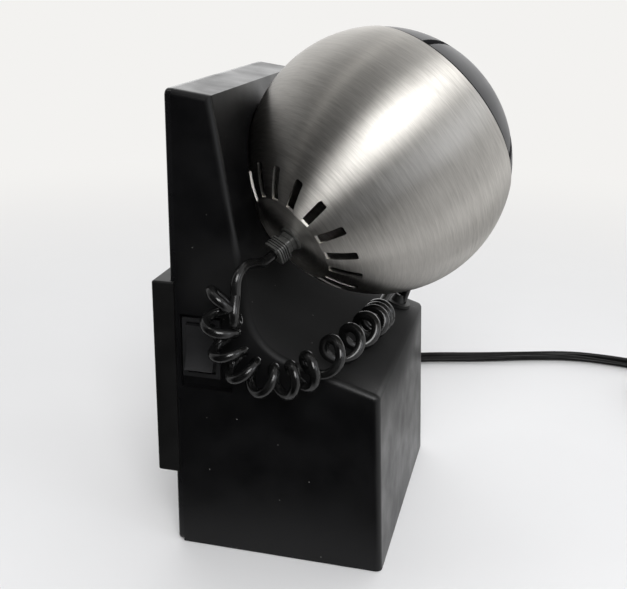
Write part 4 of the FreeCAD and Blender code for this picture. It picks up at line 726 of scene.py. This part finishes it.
def round_wire(points, diameter, steps):
    """A round wire along the points' smooth curve, and the line it follows."""
    curve = spline_curve("wire", points, steps=steps)
    curve.bevel_depth = diameter / 2
    curve.bevel_resolution = 3
    curve.use_fill_caps = True
    return smoothed(mesh_of(curve), 60), line_of(points, steps)


class LAMP_OT_curly_cord(bpy.types.Operator):
    """Makes the curly cord between the housing and the ball"""
    bl_idname = "lamp.curly_cord"
    bl_label = "Curly cord"

    def execute(self, context):
        settings = context.scene.lamp_settings
        curls = curl_points(settings.curl_radius)
        points = GLAND_LEAD[::-1] + curls[::-1] + BALL_LEAD
        mesh, path = round_wire(points, settings.wire_diameter, 4)
        cord = show("curly_wire", mesh, "curls", None, ("curly_cord", "curly_lead_base"))
        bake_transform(cord)
        mesh, path = round_wire(HEAD_LEAD, settings.wire_diameter, 8)
        lead = show("curly_wire_head", mesh, "curls", None, ("curly_lead_ball",))
        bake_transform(lead)
        return {"FINISHED"}


def coil_points(turns):
    """The put-away length, wound on edge in two layers, inwards and then out again."""
    low, high = 3.2 * MM, 9.3 * MM
    inner, outer = 30.0 * MM, 41.0 * MM
    start = math.radians(88)
    count = round(turns * POINTS_PER_TURN)
    points = []
    for index in range(count + 1):
        share = index / count
        angle = start - share * turns * FULL_TURN
        radius = outer - (outer - inner) * (1 - abs(2 * share - 1))
        lift = min(max((share - 0.5) * turns * 2 + 0.5, 0), 1)
        height = low + (high - low) * lift * lift * (3 - 2 * lift)
        points.append(COIL_CENTRE + Vector((radius * math.cos(angle), radius * math.sin(angle), height)))
    return points


def flex_profile(width, height):
    """The flex's section: two round cores side by side in one skin."""
    half, core = width / 2, height / 2
    # The quarter outline from the outer edge to the groove, mirrored twice.
    quarter = [(half, 0.6 * core), (half - 0.5 * core, core * 1.08),
               (0.75 * core, core * 1.08), (0.2 * core, 0.7 * core)]
    outline = quarter + [(-x, y) for x, y in quarter[::-1]]
    outline += [(x, -y) for x, y in outline[::-1]]
    curve = bpy.data.curves.new("flex_profile", "CURVE")
    curve.dimensions = "2D"
    spline = curve.splines.new("NURBS")
    spline.points.add(len(outline) - 1)
    for point, (x, y) in zip(spline.points, outline):
        point.co = (x, y, 0, 1)
    spline.order_u = 3
    spline.use_cyclic_u = True
    spline.resolution_u = 2
    return bpy.data.objects.new("flex_profile", curve)


class LAMP_OT_mains_flex(bpy.types.Operator):
    """Makes the mains flex from the bushing to the plug, with its spare length coiled and tied"""
    bl_idname = "lamp.mains_flex"
    bl_label = "Mains flex"

    def execute(self, context):
        settings = context.scene.lamp_settings
        coil = coil_points(settings.coil_turns)
        points = MAINS_ROUTE + coil + MAINS_LEAD
        tilts = [math.radians(a) for a in (*MAINS_TILTS, *[90] * len(coil), *MAINS_LEAD_TILTS)]
        curve = spline_curve("mains", points, tilts, steps=5)
        profile = flex_profile(settings.flex_width, settings.flex_height)
        curve.twist_mode = "Z_UP"
        curve.bevel_mode = "OBJECT"
        curve.bevel_object = profile
        curve.use_fill_caps = True
        flex = show("mains_flex", smoothed(mesh_of(curve), 60), "flex", "base",
                    ("mains_cord", "mains_coil", "mains_lead"))
        bpy.data.objects.remove(profile)
        line_of(points, 5)
        return {"FINISHED"}


class LAMP_OT_coil_tie(bpy.types.Operator):
    """Makes the wire tie round the put-away coil"""
    bl_idname = "lamp.coil_tie"
    bl_label = "Coil tie"

    def execute(self, context):
        # The strap hugs the coil's section, which is 14.2 mm across and 11.7 mm high.
        form = bmesh.new()
        loft(form, [(-2.2, 14.9, 12.0, 2.5), (2.2, 14.9, 12.0, 2.5)], ends=False)
        bmesh.ops.solidify(form, geom=form.faces[:], thickness=0.35)
        strap = Matrix.Rotation(math.pi / 2, 4, "X")
        bmesh.ops.transform(form, matrix=strap, verts=form.verts)
        # The head that locks it, and the strap's free end lying on top.
        for middle, size in (((6.0, 0, 8.0), (6.0, 6.4, 3.4)), ((-6.0, 0, 8.1), (18.0, 4.2, 0.9))):
            block = bmesh.ops.create_cube(form, size=1)["verts"]
            bmesh.ops.scale(form, vec=size, verts=block)
            bmesh.ops.translate(form, vec=middle, verts=block)
            edges = list({edge for vert in block for edge in vert.link_edges})
            bmesh.ops.bevel(form, geom=edges, offset=0.3, offset_type="OFFSET", segments=2, profile=0.5,
                            affect="EDGES", material=-1)
        mesh = finished(form, Matrix.Translation(COIL_CENTRE + mm(-35.5, 0, 6.36)))
        show("coil_tie", mesh, "flex", "base")
        return {"FINISHED"}


# ---------------------------------------------------------------- details

class LAMP_OT_finishes(bpy.types.Operator):
    """Makes the finishes and gives each frame node its own"""
    bl_idname = "lamp.finishes"
    bl_label = "Finishes"

    def execute(self, context):
        FINISHES.update(make_finishes())
        for node, finish in NODE_FINISHES.items():
            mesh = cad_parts[node].data
            mesh.materials.clear()
            mesh.materials.append(FINISHES[finish])
        return {"FINISHED"}


class LAMP_OT_ball_relief(bpy.types.Operator):
    """Makes the ribbed strain relief in the flat back of the ball"""
    bl_idname = "lamp.ball_relief"
    bl_label = "Ball strain relief"

    def execute(self, context):
        form = bmesh.new()
        # A stem through the sheet and a round flange on it.
        turn_profile(form, [(0, 5.0), (3.5, 5.0), (3.5, 0), (5.0, 0), (5.0, -0.5), (4.6, -0.9), (0, -0.9)])
        # The neck, plain but for one step.
        sections = [(-0.7, 6.0, 6.2, 1.2), (-2.3, 6.0, 6.2, 1.2), (-2.45, 5.5, 5.7, 1.0),
                    (-2.75, 5.5, 5.7, 1.0), (-2.9, 5.9, 6.1, 1.2), (-4.4, 5.7, 5.9, 1.2)]
        # The gripping block is wider and has four grooves round it.
        sections += [(-4.5, 7.7, 8.0, 1.6), (-4.6, 8.1, 8.4, 1.8)]
        for rib in range(4):
            top = -5.2 - rib * 0.95
            sections += [(top, 8.1, 8.4, 1.8), (top - 0.1, 6.8, 7.1, 1.4), (top - 0.4, 6.8, 7.1, 1.4),
                         (top - 0.5, 8.1, 8.4, 1.8)]
        sections += [(-8.9, 8.1, 8.4, 1.8), (-9.2, 7.6, 7.9, 1.6)]
        loft(form, sections)
        mesh = finished(form, IN_BALL @ Matrix.Translation(mm(0, 0, FLAT_BACK)) @
                        Matrix.Rotation(math.radians(18), 4, "Z"))
        show("ball_relief", mesh, "relief", "head", ("strain_relief",))
        return {"FINISHED"}


class LAMP_OT_bulb(bpy.types.Operator):
    """Makes the bulb's thin glass and its filament on two support wires"""
    bl_idname = "lamp.bulb"
    bl_label = "Bulb"

    def execute(self, context):
        form = bmesh.new()
        # Half outline of the glass, from the cap up over the globe.
        neck, globe, centre = 5.9, 7.2, 8.0
        start = math.asin(neck / globe)
        arc = [math.pi - start + (start - math.pi) * k / 14 for k in range(15)]
        outline = [(neck, 0.6), (neck, 2.2)] + [
            (globe * math.sin(a), centre + globe * math.cos(a)) for a in arc]
        turn_profile(form, outline, steps=40)
        bmesh.ops.remove_doubles(form, verts=form.verts, dist=0.001)
        bmesh.ops.recalc_face_normals(form, faces=form.faces)
        bmesh.ops.solidify(form, geom=form.faces[:], thickness=0.4)
        show("bulb_globe", finished(form, IN_BALL), "glass", "head", ("bulb_glass",))
        turns, per_turn, pitch, radius, height = 12, 8, 0.384, 0.55, 8.6
        angles = [k * FULL_TURN / per_turn for k in range(turns * per_turn + 1)]
        coil = [mm(-2.4 + pitch * a / FULL_TURN, radius * math.cos(a), height + radius * math.sin(a))
                for a in angles]
        wires = [mm(-3.4, 0, 0.7), mm(-3.4, 0, 4), mm(-2.6, 0.3, 7.6)] + coil + [
            mm(2.6, 0.3, 7.6), mm(3.4, 0, 4), mm(3.4, 0, 0.7)]
        curve = spline_curve("filament", wires, steps=3)
        curve.bevel_depth = 0.12 * MM
        curve.bevel_resolution = 1
        mesh = mesh_of(curve)
        mesh.transform(IN_BALL)
        show("bulb_filament", smoothed(mesh, 80), "tungsten", "head")
        return {"FINISHED"}


class LAMP_OT_cover_screws(bpy.types.Operator):
    """Makes the four cross-head screws of the back cover"""
    bl_idname = "lamp.cover_screws"
    bl_label = "Cover screws"

    def execute(self, context):
        form = bmesh.new()
        for place in COVER_SCREWS:
            screw = bmesh.new()
            turn_profile(screw, [(0, -13), (1.1, -12.4), (1.4, -11.6), (1.4, -1.6), (2.9, -1.6),
                                 (3.0, -1.5), (3.0, -0.3), (2.7, 0)], 24)
            bmesh.ops.remove_doubles(screw, verts=screw.verts, dist=0.001)
            rim = [edge for edge in screw.edges if edge.is_boundary]
            # The cross is the five middle cells of a grid, sunk into the head.
            grid = bmesh.ops.create_grid(screw, x_segments=3, y_segments=3, size=1.65)["verts"]
            cells = list({face for vert in grid for face in vert.link_faces})
            corners = [face for face in cells if min(map(abs, face.calc_center_median().xy)) > 0.5]
            cross = [face for face in cells if face not in corners]
            for axis, shares in enumerate(((0.75, 1, 1), (1, 0.75, 1))):
                bmesh.ops.scale(screw, vec=shares, verts=[vert for vert in grid if abs(vert.co[axis]) < 1])
            bmesh.ops.delete(screw, geom=corners, context="FACES")
            whole = bmesh.ops.dissolve_faces(screw, faces=cross)["region"][0]
            bmesh.ops.bridge_loops(screw, edges=rim + whole.edges[:])
            sunk = bmesh.ops.extrude_face_region(screw, geom=[whole])["geom"]
            floor = [part for part in sunk if isinstance(part, bmesh.types.BMVert)]
            bmesh.ops.translate(screw, vec=(0, 0, -1.3), verts=floor)
            bmesh.ops.scale(screw, vec=(0.72, 0.72, 1), verts=floor)
            bmesh.ops.recalc_face_normals(screw, faces=screw.faces)
            # Screws stop at whatever angle they are tight, here one that differs with height.
            stopped = Matrix.Rotation(place.z * SCREW_TURN, 4, "Z")
            turned = Matrix.Translation(place / MM) @ Matrix.Rotation(-math.pi / 2, 4, "Y") @ stopped
            bmesh.ops.transform(screw, matrix=turned, verts=screw.verts)
            part = bpy.data.meshes.new("screw")
            screw.to_mesh(part)
            screw.free()
            form.from_mesh(part)
            bpy.data.meshes.remove(part)
        show("cover_screw_heads", finished(form), "zinc", "base", ("cover_screws",))
        return {"FINISHED"}


class LAMP_OT_plug(bpy.types.Operator):
    """Makes the moulding of the flat two-pin plug"""
    bl_idname = "lamp.plug"
    bl_label = "Plug"

    def execute(self, context):
        form = bmesh.new()
        # From the pin face back: a wide grip that narrows to a ribbed sleeve round the flex.
        sections = [(0, 31.5, 11.2, 3.6), (0.8, 33.4, 13.0, 4.4), (2, 33.8, 13.4, 4.6), (19, 33.0, 13.2, 4.6),
                    (24, 28, 12.6, 5.0), (29, 20, 11.4, 5.0), (33, 14.6, 10.2, 4.4), (36, 12, 9.4, 4.0)]
        for rib in range(4):
            start, width, height = 37 + rib * 3.4, 10.8 - rib * 0.7, 8.4 - rib * 0.6
            groove = (width - 1.6, height - 1.6, 2.0)
            sections += [(start, *groove), (start + 0.8, *groove), (start + 0.9, width, height, 2.6),
                         (start + 3.3, width - 0.4, height - 0.3, 2.6)]
        loft(form, sections)
        where = Matrix.Translation(PLUG_REAR + mm(0, -36, 0)) @ Matrix.Rotation(-math.pi / 2, 4, "X")
        show("plug_moulding", finished(form, where), "plug", "base", ("plug_body",))
        return {"FINISHED"}


OPERATORS = (
    LAMP_OT_finishes, LAMP_OT_stage, LAMP_OT_curly_cord, LAMP_OT_ball_relief, LAMP_OT_bulb,
    LAMP_OT_cover_screws, LAMP_OT_coil_tie, LAMP_OT_plug, LAMP_OT_mains_flex,
)


class LAMP_PT_panel(bpy.types.Panel):
    bl_label = "Ball Head Lamp"
    bl_idname = "LAMP_PT_panel"
    bl_space_type = "VIEW_3D"
    bl_region_type = "UI"
    bl_category = "Lamp"

    def draw(self, context):
        for name in LampSettings.__annotations__:
            self.layout.prop(context.scene.lamp_settings, name)
        for operator in OPERATORS:
            self.layout.operator(operator.bl_idname)


CLASSES = (LampSettings, *OPERATORS, LAMP_PT_panel)


def register():
    for each in CLASSES:
        bpy.utils.register_class(each)
    bpy.types.Scene.lamp_settings = PointerProperty(type=LampSettings)


def unregister():
    del bpy.types.Scene.lamp_settings
    for each in reversed(CLASSES):
        bpy.utils.unregister_class(each)


def main():
    register()
    for operator in OPERATORS:
        group, name = operator.bl_idname.split(".")
        getattr(getattr(bpy.ops, group), name)()


if __name__ == "__main__":
    main()
